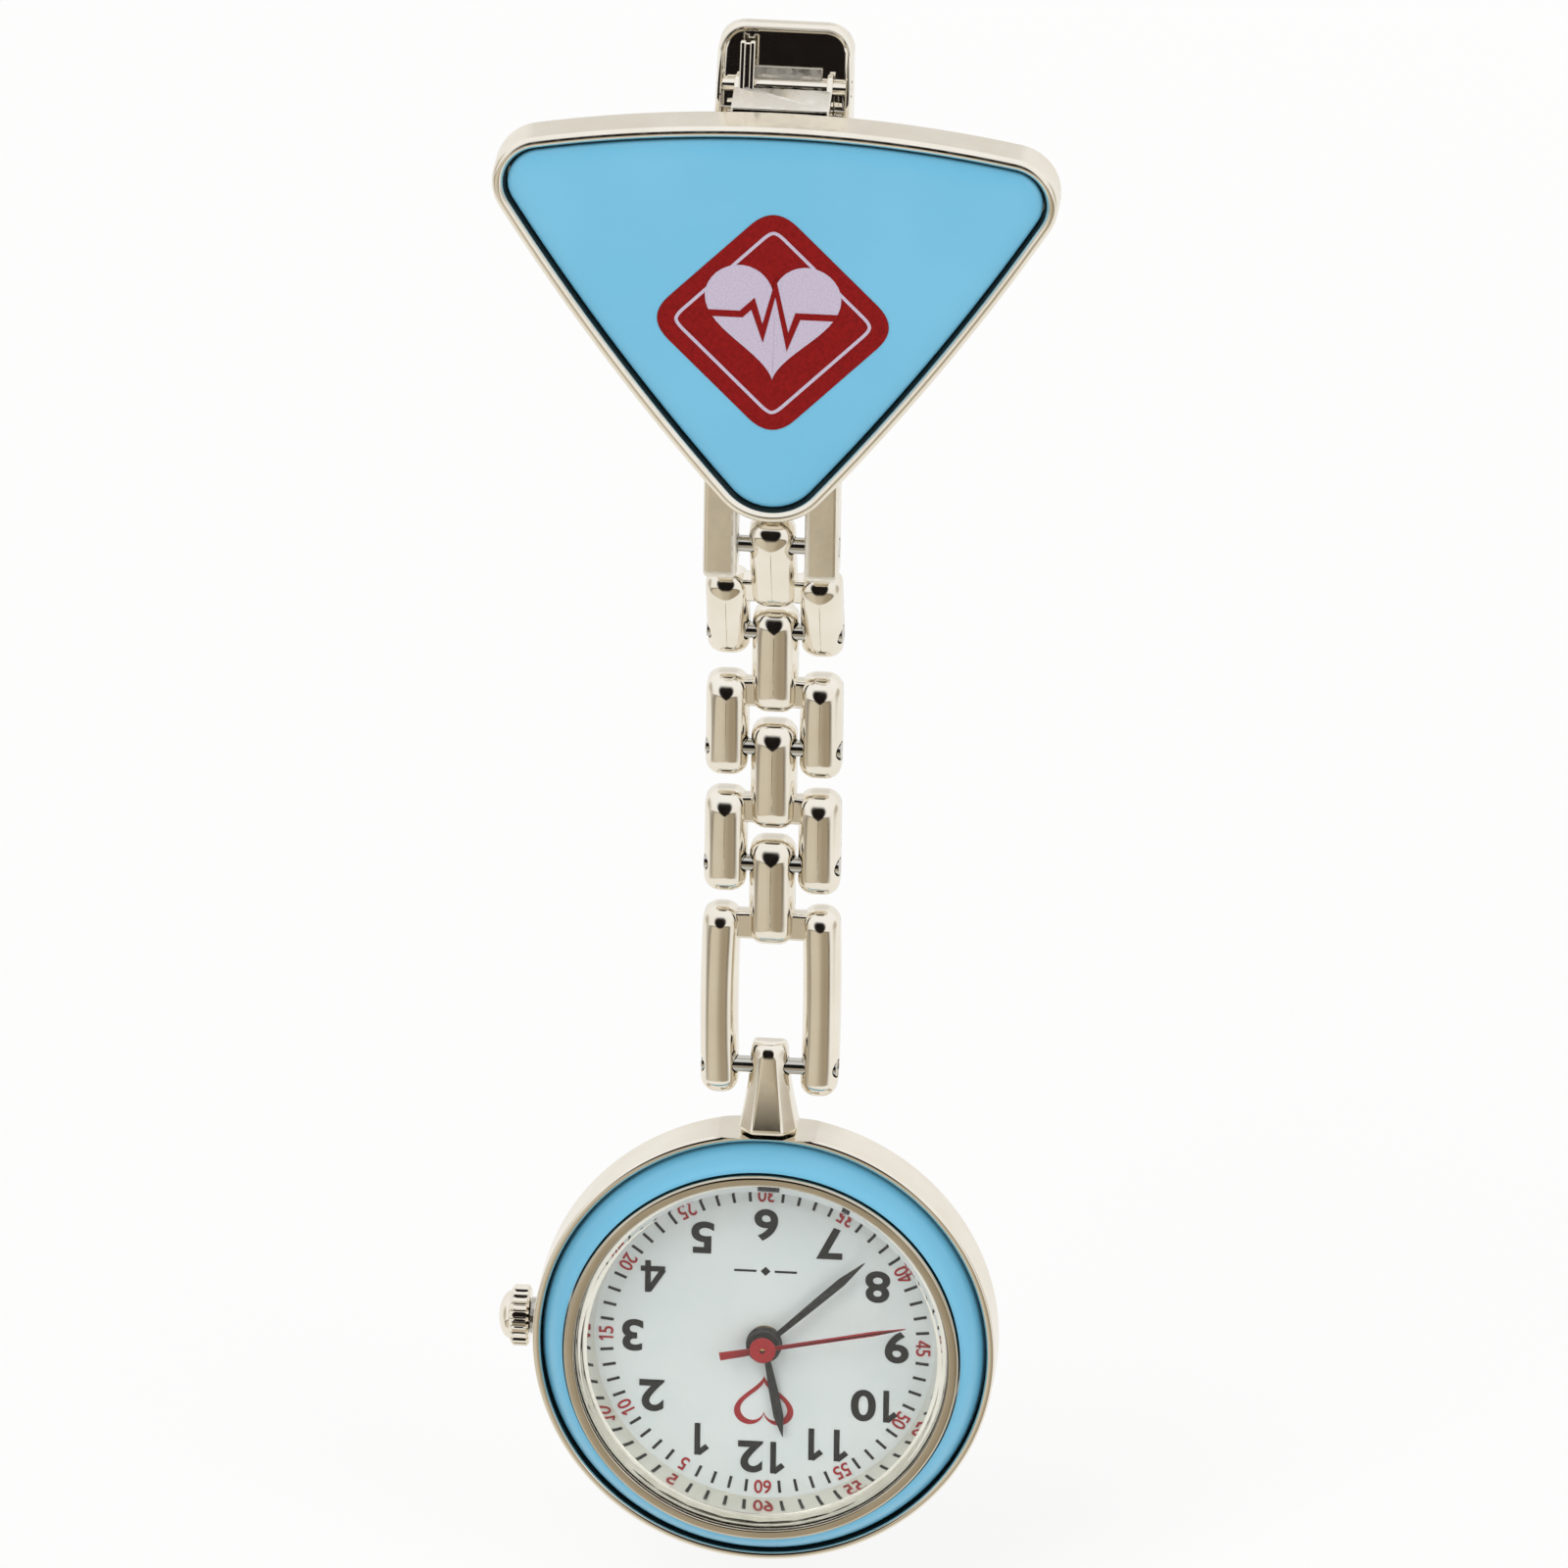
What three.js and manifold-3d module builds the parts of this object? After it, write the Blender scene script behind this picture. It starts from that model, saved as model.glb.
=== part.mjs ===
// Fob watch: a nurse's hanging watch on a clip badge and a short fork-link chain.
// Millimetres, +Z up as it hangs, the dial and badge face -Y.
// The origin is the point where the clip's jaw grips the cloth.

import * as THREE from 'three';
import { mergeVertices } from 'three/addons/utils/BufferGeometryUtils.js';
import Module from 'manifold-3d';

// ---------------------------------------------------------------- driving dimensions

const fit = {
  pin: 0.15, // round a hinge pin
  press: 0.05, // round a piece pressed or set into its seat
  run: 0.12, // round a turning arbor or pipe
  mesh: 0.06, // between the tooth tips of two wheels that drive each other
  jaw: 0.3, // between the closed jaw and the bracket
};

const badge = {
  width: 34,
  height: 25.6,
  depth: 3,
  cornerRadius: 3,
  tipRadius: 4,
  topArc: 80,
  sideArc: 150,
  lip: 0.45,
  bevelWidth: 0.4,
  bevelDepth: 0.6,
  pocketDepth: 1.5,
  edgeRound: 0.25,
  inlayDome: 0.4,
  domeWidth: 1.6,
};

const lug = {
  outerWidth: 8.1,
  width: 2,
  thickness: 2.6,
  tipToPin: 2,
  tail: 1.9,
  rise: 3.2,
};

const clip = {
  width: 8.1,
  sheet: 0.5,
  gripToHinge: 13.5,
  hingeToBadgeTop: 0.4,
  hingeBack: 2.9, // hinge axis behind the badge
  wallBack: 5, // outside of the lever's wall behind the badge
  tab: 3.45, // tab above the hinge
  tabCorner: 1.6,
  rim: 1.75,
  earRadius: 1.4,
  jawLength: 1.8,
  toothDepth: 0.25,
  teeth: 3,
  bracketWidth: 5.9,
  bracketFoot: 2.5, // bracket below the grip point
  bracketEar: 1.25,
  shelf: 2.4,
  tangWidth: 0.9,
  tangInset: 0.3,
  tangHeight: 2.8,
  pinRadius: 0.4,
  rivetRadius: 0.5,
  rivetHead: 0.9,
  rivetHeadHeight: 0.35,
  rivetDepth: 0.8,
  rivetSpacing: 3,
  rivetBelowHinge: 6.5,
};

const spring = {
  thickness: 0.25,
  width: 4.4,
  foot: 1.9, // run under the bracket's shelf, in front of the hinge
  reach: 2.1, // bears on the lever this far above the hinge
};

const chain = {
  width: 8.2,
  barWidth: 2.4,
  tongueWidth: 2.5,
  thickness: 2.2,
  endRound: 0.9,
  pitch: 7.6,
  rise: 1.6, // tongue above its own pin
  tongueGap: 0.7, // between one centre bar and the next link's tongue
  barGap: 1, // between the side bars of two links
  webThickness: 1,
  webInset: 0.3,
  tail: 1.9, // side bars below the lower pin
  pinRadius: 0.5,
  shortLinks: 3,
  lean: THREE.MathUtils.degToRad(24),
  longPitch: 13.2,
  longBarWidth: 2.25,
};

const bail = {
  topWidth: 2.2,
  footWidth: 3.4,
  rise: 1.6,
  topDepth: 1.8,
  footDepth: 2.6,
  padWidth: 6,
  padHeight: 0.95,
  padDepth: 2.8,
};

const watch = {
  radius: 14, // outside of the case
  pinToRim: 3.75, // last chain pin to the case wall
  front: -1.6, // places along the axis, from the chain's plane
  back: 2.6,
  taperStart: 1.7,
  taper: 1.05,
  edgeRound: 0.2,
  lip: 0.5,
  web: 0.5,
  seatY: -0.25, // face that the dial lies against
  boreRadius: 11.65,
  webRadius: 10.95,
};

const ring = {
  innerRadius: 12.05,
  outerEdgeY: -1,
  innerEdgeY: -2.9,
  crown: 0.35,
};

const bezel = {
  radius: 11.95,
  frontY: -3.3,
  edge: 0.22,
  glassRadius: 11.3,
  innerRadius: 10.9,
  ledgeY: -1.95,
};

const glass = { thickness: 1.05, gasket: 0.2, edge: 0.3 };
const flange = { radius: 10.85, footRadius: 10.3, topRadius: 10.6, topY: -2.1 };
const dial = { radius: 11.5, thickness: 0.35, holeRadius: 1 };

const hourHand = { y: -0.7, length: 6.2, width: 0.5, hub: 1.1, tail: 0.6, tailWidth: 0.5 };
const minuteHand = { y: -1.1, length: 8.35, width: 0.42, hub: 1.1, tail: 0.6, tailWidth: 0.5 };
const secondsHand = { y: -1.7, length: 8.8, width: 0.34, hub: 0.8, tail: 2.65, tailWidth: 0.5 };
const handThickness = 0.15;
const shownTime = { hour: 11, minute: 37, second: 43 };

const movement = {
  radius: 9.1,
  ringRadius: 11.5,
  ringBackY: 2.2,
  plateY: 0.95,
  plateBackY: 1.45,
  bridgeY: 2.65,
  bridgeBackY: 2.95,
  arbor: 0.12,
  postRadius: 0.45,
};

const stem = {
  y: 1.2,
  radius: 0.45,
  innerEnd: 5.4,
  grooveRadius: 0.28,
  grooveAt: 7.6,
  grooveWidth: 1.2,
};

const crown = {
  radius: 1.85,
  neck: 0.35, // case wall to the crown
  knurlLength: 1.1,
  domeHeight: 0.8,
  knurls: 24,
  knurlDepth: 0.12,
  bore: 0.85,
};

const tube = { radius: 1.1, bore: 0.8, inner: 11.7, proud: 0.3 };
const seal = { radius: 0.74, length: 0.6, at: 13.3 };
const clutch = { radius: 0.8, length: 0.8, teeth: 10, at: 6.1 };

const battery = { radius: 3.4, thickness: 2.15, offset: 5.6, angle: -15, y: 1.1 };
const cover = { radius: 12.9, flatRadius: 11, backY: 4.2, wall: 0.7, rimThickness: 0.5, skirt: 0.45 };
const backGasket = { inner: 11.75, outer: 12.25, thickness: 0.2 };

// Tooth counts: seconds to centre is 60 to 1, centre to hour is 12 to 1, rotor to seconds 30 to 1.
const teeth = {
  rotorPinion: 6,
  intermediate: 36,
  intermediatePinion: 10,
  seconds: 50,
  secondsPinion: 8,
  third: 60,
  thirdPinion: 8,
  centre: 64,
  cannon: 10,
  minute: 30,
  minutePinion: 8,
  hour: 32,
};

// Distance and direction of each wheel's axis: from the centre, and the rotor's from the intermediate's.
const axes = {
  third: { distance: 2.2, angle: 120 },
  intermediate: { distance: 2.16, angle: -115 },
  rotor: { distance: 1.75, angle: -125 },
  minute: { distance: 2.4, angle: 60 },
};

const arbors = { seconds: 0.18, cannonWall: 0.2, hourWall: 0.23, toothDepth: 0.16 };

// Front and back of each layer of wheels, from the dial side to the back.
const layers = {
  hour: { front: 0.25, back: 0.4 },
  cannon: { front: 0.5, back: 0.65 },
  centre: { front: 1.6, back: 1.75 },
  seconds: { front: 1.95, back: 2.1 },
  third: { front: 2.25, back: 2.4 },
};

const coil = { radius: 0.7, length: 4, core: 6.4, coreWidth: 0.9, coreThickness: 0.3, z: -6.6, x: -2.2 };
const stator = { thickness: 0.15, radius: 1.4, bore: 0.8, legWidth: 1 };
const board = { inner: 5.5, outer: 8.7, start: 30, end: 150, thickness: 0.15 };

// ---------------------------------------------------------------- places worked out

const bracketBackY = -fit.jaw / 2;
const badgeBackY = bracketBackY - clip.sheet;
const badgeFrontY = badgeBackY - badge.depth;
const hinge = { y: badgeBackY + clip.hingeBack, z: clip.gripToHinge };
const leverBackY = badgeBackY + clip.wallBack;
const badgeTopZ = clip.gripToHinge - clip.hingeToBadgeTop;
const badgeTipZ = badgeTopZ - badge.height;

const lugPin = { y: badgeBackY - lug.thickness / 2, z: badgeTipZ - lug.tipToPin };
const straightY = lugPin.y + chain.pitch * Math.sin(chain.lean);
const secondPinZ = lugPin.z - chain.pitch * Math.cos(chain.lean);
const longPinZ = secondPinZ - chain.pitch * (chain.shortLinks - 1);
const bailPinZ = longPinZ - chain.longPitch;
const watchZ = bailPinZ - watch.pinToRim - watch.radius;

const webFrontY = watch.seatY - watch.web;
const dialBackY = watch.seatY + dial.thickness;
const glassBackY = bezel.ledgeY - glass.gasket;
const coverRimY = watch.back + backGasket.thickness;

// ---------------------------------------------------------------- solids

const wasm = await Module();
wasm.setup();

// Makes a geometry one indexed closed mesh, without the flat slivers at a pole.
function weld(geometry) {
  const bare = geometry.clone();
  bare.deleteAttribute('normal');
  bare.deleteAttribute('uv');
  const merged = mergeVertices(bare, 1e-4);
  const corners = merged.index.array;
  const kept = [];
  for (let i = 0; i < corners.length; i += 3) {
    const [a, b, c] = corners.slice(i, i + 3);
    if (a !== b && b !== c && c !== a) kept.push(a, b, c);
  }
  merged.setIndex(kept);
  return merged;
}

function toSolid(geometry) {
  const welded = weld(geometry);
  return new wasm.Manifold(new wasm.Mesh({
    numProp: 3,
    vertProperties: new Float32Array(welded.attributes.position.array),
    triVerts: new Uint32Array(welded.index.array),
  }));
}

function toGeometry(solid) {
  const mesh = solid.getMesh();
  const geometry = new THREE.BufferGeometry();
  geometry.setAttribute('position', new THREE.BufferAttribute(mesh.vertProperties, 3));
  geometry.setIndex(new THREE.BufferAttribute(mesh.triVerts, 1));
  return geometry;
}

function join(...geometries) {
  return toGeometry(geometries.map(toSolid).reduce((all, next) => all.add(next)));
}

function cut(blank, ...tools) {
  return toGeometry(tools.map(toSolid).reduce((left, tool) => left.subtract(tool), toSolid(blank)));
}

function common(first, second) {
  return toGeometry(toSolid(first).intersect(toSolid(second)));
}

function box([x0, x1], [y0, y1], [z0, z1]) {
  const block = new THREE.BoxGeometry(x1 - x0, y1 - y0, z1 - z0);
  return block.translate((x0 + x1) / 2, (y0 + y1) / 2, (z0 + z1) / 2);
}

function polygon(points) {
  return new THREE.Shape(points.map(([u, v]) => new THREE.Vector2(u, v)));
}

// Extrudes an outline of (x, z) points from y0 back to y1.
function alongY(shape, y0, y1, options = {}) {
  const settings = { depth: y1 - y0, bevelEnabled: false, curveSegments: 3, ...options };
  const geometry = new THREE.ExtrudeGeometry(shape, settings);
  return geometry.rotateX(Math.PI / 2).translate(0, y1, 0);
}

// Extrudes an outline of (y, z) points from x0 to x1.
function alongX(shape, x0, x1) {
  const settings = { depth: x1 - x0, bevelEnabled: false, curveSegments: 2 };
  const geometry = new THREE.ExtrudeGeometry(shape, settings);
  geometry.rotateX(Math.PI / 2);
  geometry.rotateZ(Math.PI / 2);
  return geometry.translate(x0, 0, 0);
}

// Turns a profile of (radius, y) points round the Y axis, whichever way it is listed.
function turned(profile, segments = 48) {
  const points = profile.map(([radius, y]) => new THREE.Vector2(radius, y));
  if (THREE.ShapeUtils.area(points) < 0) points.reverse();
  const open = points[0].x > 0 || points.at(-1).x > 0;
  if (open) points.push(points[0].clone());
  return new THREE.LatheGeometry(points, segments);
}

function rodY(radius, y0, y1, segments = 12) {
  return new THREE.CylinderGeometry(radius, radius, y1 - y0, segments).translate(0, (y0 + y1) / 2, 0);
}

function rodX(radius, x0, x1, segments = 12) {
  const rod = new THREE.CylinderGeometry(radius, radius, x1 - x0, segments);
  return rod.rotateZ(Math.PI / 2).translate((x0 + x1) / 2, 0, 0);
}

// A strip with round ends in the (x, z) plane.
function strip([x0, z0], [x1, z1], halfWidth, y0, y1) {
  const along = Math.atan2(z1 - z0, x1 - x0);
  const shape = new THREE.Shape();
  shape.absarc(x1, z1, halfWidth, along - Math.PI / 2, along + Math.PI / 2);
  shape.absarc(x0, z0, halfWidth, along + Math.PI / 2, along + Math.PI * 1.5);
  return alongY(shape, y0, y1);
}

function polar(distance, degrees) {
  const angle = THREE.MathUtils.degToRad(degrees);
  return [distance * Math.cos(angle), distance * Math.sin(angle)];
}

// ---------------------------------------------------------------- materials and the scene graph

const finishes = {
  nickel: { color: 0xd9d3c7, roughness: 0.18, metalness: 1 },
  steel: { color: 0xb9b7b0, roughness: 0.3, metalness: 1 },
  brass: { color: 0xc9a85c, roughness: 0.3, metalness: 1 },
  enamel: { color: 0x78bedc, roughness: 0.35, metalness: 0 },
  glass: { color: 0xdfeee8, roughness: 0.02, metalness: 0, transparent: true, opacity: 0.25 },
  dialWhite: { color: 0xdde4e5, roughness: 0.5, metalness: 0 },
  black: { color: 0x222426, roughness: 0.4, metalness: 0 },
  red: { color: 0xaa1e23, roughness: 0.4, metalness: 0 },
  rubber: { color: 0x303234, roughness: 0.8, metalness: 0 },
  plastic: { color: 0xe9e7df, roughness: 0.6, metalness: 0 },
  board: { color: 0x2f6b45, roughness: 0.6, metalness: 0 },
  copper: { color: 0xb5683a, roughness: 0.4, metalness: 1 },
};

const group = new THREE.Group();

function place(parent, x, y, z) {
  const holder = new THREE.Group();
  holder.position.set(x, y, z);
  parent.add(holder);
  return holder;
}

function addPiece(parent, name, finish, geometry) {
  const mesh = new THREE.Mesh(geometry, new THREE.MeshStandardMaterial(finishes[finish]));
  mesh.name = name;
  parent.add(mesh);
}

// ---------------------------------------------------------------- badge

// Centres of the badge outline's arcs, each touching the next from inside.
function badgeCentres() {
  const cornerX = badge.width / 2 - badge.cornerRadius;
  const topZ = badgeTopZ - badge.topArc;
  const cornerZ = topZ + Math.sqrt((badge.topArc - badge.cornerRadius) ** 2 - cornerX ** 2);
  const corner = new THREE.Vector2(cornerX, cornerZ);
  const tip = new THREE.Vector2(0, badgeTipZ + badge.tipRadius);
  const toCorner = corner.clone().sub(tip);
  const span = toCorner.length();
  const fromTip = badge.sideArc - badge.tipRadius;
  const fromCorner = badge.sideArc - badge.cornerRadius;
  const along = (fromTip ** 2 - fromCorner ** 2 + span ** 2) / (2 * span);
  const across = Math.sqrt(fromTip ** 2 - along ** 2);
  const unit = toCorner.normalize();
  const side = new THREE.Vector2(
    tip.x + unit.x * along - unit.y * across,
    tip.y + unit.y * along + unit.x * across,
  );
  return { top: new THREE.Vector2(0, topZ), corner, tip, side };
}

// The badge outline, moved inwards by inset.
function badgeOutline(inset) {
  const { top, corner, tip, side } = badgeCentres();
  const sideToCorner = Math.atan2(corner.y - side.y, corner.x - side.x);
  const sideToTip = Math.atan2(tip.y - side.y, tip.x - side.x);
  const topToCorner = Math.atan2(corner.y - top.y, corner.x - top.x);
  const shape = new THREE.Shape();
  const arc = (centre, radius, from, to) => {
    shape.absarc(centre.x, centre.y, radius - inset, from, to);
  };
  const mirrored = (centre) => new THREE.Vector2(-centre.x, centre.y);
  arc(tip, badge.tipRadius, -Math.PI - sideToTip, sideToTip);
  arc(side, badge.sideArc, sideToTip, sideToCorner);
  arc(corner, badge.cornerRadius, sideToCorner, topToCorner);
  arc(top, badge.topArc, topToCorner, Math.PI - topToCorner);
  arc(mirrored(corner), badge.cornerRadius, Math.PI - topToCorner, Math.PI - sideToCorner);
  arc(mirrored(side), badge.sideArc, Math.PI - sideToCorner, Math.PI - sideToTip);
  return shape;
}

function bevelled(size, thickness, segments) {
  return { bevelEnabled: true, bevelSize: size, bevelThickness: thickness, bevelSegments: segments };
}

// A bar's side outline in (y, z), its ends rounded.
function barOutline(thickness, round, top, bottom) {
  const half = thickness / 2;
  const shape = new THREE.Shape();
  shape.absarc(half - round, top - round, round, 0, Math.PI / 2);
  shape.absarc(round - half, top - round, round, Math.PI / 2, Math.PI);
  shape.absarc(round - half, bottom + round, round, Math.PI, Math.PI * 1.5);
  shape.absarc(half - round, bottom + round, round, -Math.PI / 2, 0);
  return shape;
}

const rivetPlaces = [-1, 1].map((side) => [side * clip.rivetSpacing / 2, hinge.z - clip.rivetBelowHinge]);

function badgeFrame() {
  const { edgeRound } = badge;
  const blank = alongY(
    badgeOutline(edgeRound),
    badgeFrontY + edgeRound,
    badgeBackY - edgeRound,
    bevelled(edgeRound, edgeRound, 1),
  );
  const inner = badge.lip + badge.bevelWidth;
  const pocket = alongY(badgeOutline(inner), badgeFrontY, badgeFrontY + badge.pocketDepth);
  const flareMiddle = badgeFrontY - badge.bevelDepth;
  const flareSize = badge.bevelWidth * 2;
  const flare = alongY(
    badgeOutline(inner),
    flareMiddle,
    flareMiddle + edgeRound,
    bevelled(flareSize, badge.bevelDepth * 2, 1),
  ).translate(0, -edgeRound, 0);
  const lugShape = barOutline(lug.thickness, badge.edgeRound * 4, lug.rise + lug.tipToPin, -lug.tail);
  const lugs = [-1, 1].map((side) => {
    const centre = side * (lug.outerWidth - lug.width) / 2;
    const bar = alongX(lugShape, centre - lug.width / 2, centre + lug.width / 2);
    return bar.translate(0, lugPin.y, lugPin.z);
  });
  const pinHole = rodX(chain.pinRadius + fit.pin, -lug.outerWidth, lug.outerWidth);
  pinHole.translate(0, lugPin.y, lugPin.z);
  const rivetHoles = rivetPlaces.map(([x, z]) => {
    const depth = clip.rivetDepth + fit.press;
    return rodY(clip.rivetRadius + fit.press, badgeBackY - depth, badgeBackY + depth).translate(x, 0, z);
  });
  return cut(join(cut(blank, flare), ...lugs), pocket, pinHole, ...rivetHoles);
}

function badgeInlay() {
  const inset = badge.lip + badge.bevelWidth + fit.press;
  const floorY = badgeFrontY + badge.pocketDepth;
  const edgeY = badgeFrontY + badge.bevelDepth;
  const slab = alongY(badgeOutline(inset), edgeY, floorY);
  const dome = alongY(
    badgeOutline(inset + badge.domeWidth),
    edgeY,
    floorY - badge.inlayDome,
    bevelled(badge.domeWidth, badge.inlayDome, 3),
  );
  return join(slab, dome);
}

// ---------------------------------------------------------------- clip

function clipBracket() {
  const half = clip.bracketWidth / 2;
  const shelfTop = badgeTopZ + clip.sheet / 5;
  const plate = box([-half, half], [badgeBackY, bracketBackY], [-clip.bracketFoot, shelfTop]);
  const shelf = box([-half, half], [badgeBackY, badgeBackY + clip.shelf], [shelfTop - clip.sheet, shelfTop]);
  const ear = new THREE.Shape();
  ear.absarc(hinge.y, hinge.z, clip.bracketEar, -Math.PI / 4, Math.PI * 0.75);
  ear.lineTo(badgeBackY + clip.sheet / 2, shelfTop);
  ear.lineTo(badgeBackY + clip.sheet / 2, hinge.z - clip.bracketEar * 3);
  const ears = [-half, half - clip.sheet].map((x) => alongX(ear, x, x + clip.sheet));
  const tangX = clip.tangInset - half;
  const tang = box(
    [tangX, tangX + clip.tangWidth],
    [hinge.y - clip.sheet / 2, hinge.y + clip.sheet / 2],
    [hinge.z + clip.pinRadius + fit.pin, hinge.z + clip.tangHeight],
  );
  const pinHole = rodX(clip.pinRadius + fit.pin, -half * 2, half * 2);
  pinHole.translate(0, hinge.y, hinge.z);
  const rivetHoles = rivetPlaces.map(([x, z]) => {
    const hole = rodY(clip.rivetRadius + fit.press, badgeBackY - clip.sheet, bracketBackY + clip.sheet);
    return hole.translate(x, 0, z);
  });
  return cut(join(plate, shelf, ...ears, tang), pinHole, ...rivetHoles);
}

function clipRivet([x, z]) {
  const shank = rodY(clip.rivetRadius, badgeBackY - clip.rivetDepth, bracketBackY + clip.rivetHeadHeight / 2);
  const head = turned([
    [0, bracketBackY],
    [clip.rivetHead, bracketBackY],
    [clip.rivetHead * 0.7, bracketBackY + clip.rivetHeadHeight],
    [0, bracketBackY + clip.rivetHeadHeight],
  ], 12);
  return join(shank, head).translate(x, 0, z);
}

// Side outline of the lever's sheet: a straight wall, a slope, then the toothed jaw.
function leverWall() {
  const { sheet, jawLength, teeth, toothDepth } = clip;
  const front = leverBackY - sheet;
  const jawY = fit.jaw / 2;
  const jawTop = jawLength / 2;
  const slopeTop = jawTop + (front - jawY);
  const points = [[front, hinge.z + clip.tab], [front, slopeTop], [jawY + sheet, jawTop + sheet / 2]];
  for (let tooth = 0; tooth < teeth; tooth += 1) {
    const toothPitch = jawLength / teeth;
    const top = jawTop - tooth * toothPitch;
    points.push([jawY, top - toothPitch / 4], [jawY, top - toothPitch * 0.6]);
    points.push([jawY + toothDepth, top - toothPitch]);
  }
  points.push([jawY + sheet + toothDepth, -jawTop]);
  points.push([jawY + sheet + toothDepth, jawTop - sheet]);
  points.push([leverBackY, slopeTop - sheet / 2]);
  points.push([leverBackY, hinge.z + clip.tab]);
  return polygon(points);
}

function clipLever() {
  const half = clip.width / 2;
  const top = hinge.z + clip.tab;
  const front = leverBackY - clip.sheet;
  const rimFront = leverBackY - clip.rim;
  const wall = alongX(leverWall(), -half, half);
  const flangeEnd = clip.jawLength * 3;
  const flangeShape = new THREE.Shape();
  flangeShape.moveTo(leverBackY, top);
  flangeShape.lineTo(rimFront, top);
  flangeShape.lineTo(rimFront, hinge.z + clip.earRadius * 1.5);
  flangeShape.absarc(hinge.y, hinge.z, clip.earRadius, Math.PI * 0.75, Math.PI * 1.25);
  flangeShape.lineTo(rimFront, hinge.z - clip.earRadius * 1.5);
  flangeShape.lineTo(front, flangeEnd);
  flangeShape.lineTo(leverBackY, flangeEnd);
  const flanges = [-half, half - clip.sheet].map((x) => alongX(flangeShape, x, x + clip.sheet));
  const topRim = box([-half, half], [rimFront, leverBackY], [top - clip.sheet, top]);
  const cornerX = half - clip.tabCorner;
  const cornerZ = top - clip.tabCorner;
  const outline = new THREE.Shape();
  outline.moveTo(-half, -clip.jawLength);
  outline.lineTo(half, -clip.jawLength);
  outline.absarc(cornerX, cornerZ, clip.tabCorner, 0, Math.PI / 2);
  outline.absarc(-cornerX, cornerZ, clip.tabCorner, Math.PI / 2, Math.PI);
  const roundedSheet = alongY(outline, -leverBackY, leverBackY * 2);
  const inner = new THREE.Shape();
  const innerCorner = clip.tabCorner - clip.sheet;
  inner.moveTo(clip.sheet - half, cornerZ - clip.tabCorner);
  inner.lineTo(half - clip.sheet, cornerZ - clip.tabCorner);
  inner.absarc(cornerX, cornerZ, innerCorner, 0, Math.PI / 2);
  inner.absarc(-cornerX, cornerZ, innerCorner, Math.PI / 2, Math.PI);
  const cornerFill = box([-half, half], [rimFront, leverBackY], [cornerZ, top]);
  const trayRoom = alongY(inner, -leverBackY, front);
  const tray = cut(join(wall, ...flanges, topRim, cornerFill), trayRoom);
  const pinHole = rodX(clip.pinRadius + fit.pin, -clip.width, clip.width);
  pinHole.translate(0, hinge.y, hinge.z);
  return cut(common(tray, roundedSheet), pinHole);
}

// A closed outline of the given thickness that follows a line of points.
function ribbon(points, thickness) {
  const line = points.map(([u, v]) => new THREE.Vector2(u, v));
  const offsets = line.map((point, index) => {
    const before = line[Math.max(index - 1, 0)];
    const after = line[Math.min(index + 1, line.length - 1)];
    const run = after.clone().sub(before).normalize();
    return new THREE.Vector2(-run.y, run.x).multiplyScalar(thickness / 2);
  });
  const left = line.map((point, index) => point.clone().add(offsets[index]));
  const right = line.map((point, index) => point.clone().sub(offsets[index]));
  return new THREE.Shape([...left, ...right.reverse()]);
}

// A leaf spring: from under the shelf, round behind the pin and up against the lever's wall.
function clipSpring() {
  const { thickness, width, foot, reach } = spring;
  const shelfUnder = badgeTopZ + clip.sheet / 5 - clip.sheet;
  const footZ = shelfUnder - thickness / 2 - fit.press * 2;
  const wallY = leverBackY - clip.sheet - thickness / 2 - fit.pin;
  const fold = clip.pinRadius + fit.pin + thickness / 2;
  const shelfEnd = badgeBackY + clip.shelf;
  const points = [[hinge.y - foot, footZ], [shelfEnd, footZ]];
  for (const degrees of [-90, -60, -30, 0]) {
    const [y, z] = polar(fold, degrees);
    points.push([hinge.y + y, hinge.z + z]);
  }
  points.push([wallY, hinge.z + reach * 0.8], [wallY, hinge.z + reach]);
  return alongX(ribbon(points, thickness), -width / 2, width / 2);
}

// ---------------------------------------------------------------- chain

// A fork link, its upper pin at the origin: a tongue above, two side bars below, and a web between.
function forkLink(pitch, barWidth) {
  const { thickness, endRound, webThickness, webInset } = chain;
  const webTop = chain.tail + chain.barGap;
  const webBottom = chain.pitch - chain.rise - chain.tongueGap;
  const halfTongue = chain.tongueWidth / 2;
  const half = chain.width / 2;
  const tongue = alongX(barOutline(thickness, endRound, chain.rise, -webBottom), -halfTongue, halfTongue);
  const sideShape = barOutline(thickness, endRound, -webTop, -pitch - chain.tail);
  const sides = [-half, half - barWidth].map((x) => alongX(sideShape, x, x + barWidth));
  const web = box(
    [-half + webInset, half - webInset],
    [thickness / 2 - webInset - webThickness, thickness / 2 - webInset],
    [-webBottom + webInset, -webTop - webInset],
  );
  const hole = rodX(chain.pinRadius + fit.pin, -half * 2, half * 2);
  const lowerHole = hole.clone().translate(0, 0, -pitch);
  return cut(join(tongue, ...sides, web), hole, lowerHole);
}

function chainPin(width, y, z) {
  return rodX(chain.pinRadius, -width / 2, width / 2, 16).translate(0, y, z);
}

// ---------------------------------------------------------------- watch case

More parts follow.
